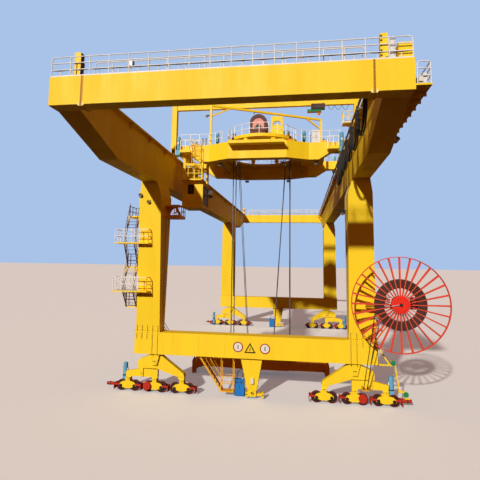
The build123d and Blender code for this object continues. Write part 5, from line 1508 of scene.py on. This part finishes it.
# %% Small hoist
HOIST_X, HOIST_Y, HOIST_Z = 2500, -5000, 12645
small = bmesh.new()
for k in range(13):
    put_disc(small, (HOIST_X - 150 + k * 24, HOIST_Y, HOIST_Z - 265), "x", 12, 93, 24, 0)
put_disc(small, (HOIST_X - 336, HOIST_Y, HOIST_Z - 265), "x", 14, 96, 24, 1)
for k in range(8):
    put_disc(small, (HOIST_X + 180 + k * 18, HOIST_Y, HOIST_Z - 265), "x", 6, 97, 20, 0)
for x in (HOIST_X + 196, HOIST_X + 244):
    put_disc(small, (x, HOIST_Y - 34, HOIST_Z - 400), "y", 68, 46, 20, 2)
put_box(small, (HOIST_X + 40, HOIST_Y - 138, HOIST_Z - 130), (HOIST_X + 300, HOIST_Y - 128, HOIST_Z - 20), 1)
hang("small_hoist_gear", small, [green, black, orange], "small_hoist", edge=2)

hook = []
for k in range(13):
    a = math.pi * (1.5 * k / 12) + math.pi / 2
    hook.append((HOIST_X + 220 + 26 * math.cos(a), HOIST_Y, HOIST_Z - 450 + 26 * math.sin(a)))
tubes("small_hoist_hook", [hook], "small_hoist", 0.009, orange, 3)

droop = []
for n in range(3):
    x = 3130 + n * 330
    sag = ((0, 12610), (60, 12480), (165, 12400 - 20 * n), (270, 12480), (330, 12610))
    droop.append([(x + run, -5080, z) for run, z in sag])
cable = tubes("small_hoist_festoon", droop, None, 0.009, rubber, 5)
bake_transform(cable)
print("hoists dressed")

# %% [markdown]
# ## Camera
# The photograph was taken low and close to the front legs with a fairly wide lens, tilted
# up by about six degrees. The numbers are those of that camera, fitted to the crane's own
# corners.

# %% Camera
TURN = 0.150718
TILT = 0.111287
ROLL = 0.014772
forward = Vector((-math.sin(TURN) * math.cos(TILT), math.cos(TURN) * math.cos(TILT), math.sin(TILT)))
level = Vector((math.cos(TURN), math.sin(TURN), 0))
upward = level.cross(forward)
right = level * math.cos(ROLL) + upward * math.sin(ROLL)
top = upward * math.cos(ROLL) - level * math.sin(ROLL)
lens = bpy.data.cameras.new("photo_camera")
lens.sensor_width = 36
lens.lens = 31.40
lens.shift_x = 0.00293
lens.shift_y = -0.0529
lens.clip_end = 500
camera = bpy.data.objects.new("photo_camera", lens)
turned = Matrix((right, top, -forward)).transposed().to_4x4()
camera.matrix_world = Matrix.Translation(at(1883, -24969, 5066)) @ turned
bpy.context.scene.collection.objects.link(camera)
bpy.context.scene.camera = camera
print("camera", round(lens.lens, 1), "mm, at", [round(v, 2) for v in camera.location])

# %% [markdown]
# ## Floor and world
# Both are plain and pale where the camera sees them, and faint in reflections. For light that
# has bounced they are warm and dim, since in the photograph the crane stands in a dark, warm
# yard, and its undersides show that.

# %% Floor and world


def seen_share(tree):
    # 1 for what the camera sees and a fifth of that in reflections
    ray = add(tree, "ShaderNodeLightPath").outputs
    faint = maths(tree, "MULTIPLY", ray["Is Glossy Ray"], 0.2)
    return ray, maths(tree, "MAXIMUM", ray["Is Camera Ray"], faint)


floor_mesh = bpy.data.meshes.new("floor")
floor_mesh.from_pydata([(-400, -400, 0), (400, -400, 0), (400, 400, 0), (-400, 400, 0)], [], [(0, 1, 2, 3)])
floor = bpy.data.objects.new("floor", floor_mesh)
bpy.context.scene.collection.objects.link(floor)
floor_mat = bpy.data.materials.new("pale_studio_floor")
floor_mat.use_nodes = True
tree = floor_mat.node_tree
tree.nodes.clear()
ray, seen = seen_share(tree)
matt = add(tree, "ShaderNodeBsdfDiffuse", {"Color": mixed(tree, seen, colour("#30160C"), colour("#EEF0F0"))})
glow = add(tree, "ShaderNodeEmission", {"Color": colour("#C8D6EA"),
                                        "Strength": maths(tree, "MULTIPLY", seen, 0.20)})
both = add(tree, "ShaderNodeAddShader", {0: matt.outputs[0], 1: glow.outputs[0]})
add(tree, "ShaderNodeOutputMaterial", {"Surface": both.outputs[0]})
floor_mesh.materials.append(floor_mat)

world = bpy.data.worlds.new("pale_studio")
bpy.context.scene.world = world
world.use_nodes = True
tree = world.node_tree
tree.nodes.clear()
ray, seen = seen_share(tree)
clear = maths(tree, "MAXIMUM", seen, ray["Is Transmission Ray"])
fill = add(tree, "ShaderNodeBackground", {"Color": colour("#F29E66"), "Strength": 0.25})
shown = add(tree, "ShaderNodeBackground", {"Color": colour("#A9C3E8"), "Strength": 1.0})
both = add(tree, "ShaderNodeMixShader", {"Fac": clear, 1: fill.outputs[0], 2: shown.outputs[0]})
add(tree, "ShaderNodeOutputWorld", {"Surface": both.outputs[0]})
print("world:", world.name)

# %% [markdown]
# ## Key light
# One sun stands low on the left behind the camera, as the shadows in the photograph say. Its
# disc is small, so the shadows have narrow soft edges.

# %% Sun


def sun(name, strength, tint, aim, width):
    lamp = bpy.data.lights.new(name, "SUN")
    lamp.energy = strength
    lamp.color = colour(tint)[:3]
    lamp.angle = width
    made = bpy.data.objects.new(name, lamp)
    made.rotation_euler = Vector(aim).to_track_quat("-Z", "Y").to_euler()
    bpy.context.scene.collection.objects.link(made)
    return made


sun("key_light", 3.3, "#FFF8EC", (0.31, 1.0, -0.50), 0.03)
bpy.context.scene.view_settings.view_transform = "Standard"
print("lamps:", len(bpy.data.lights))
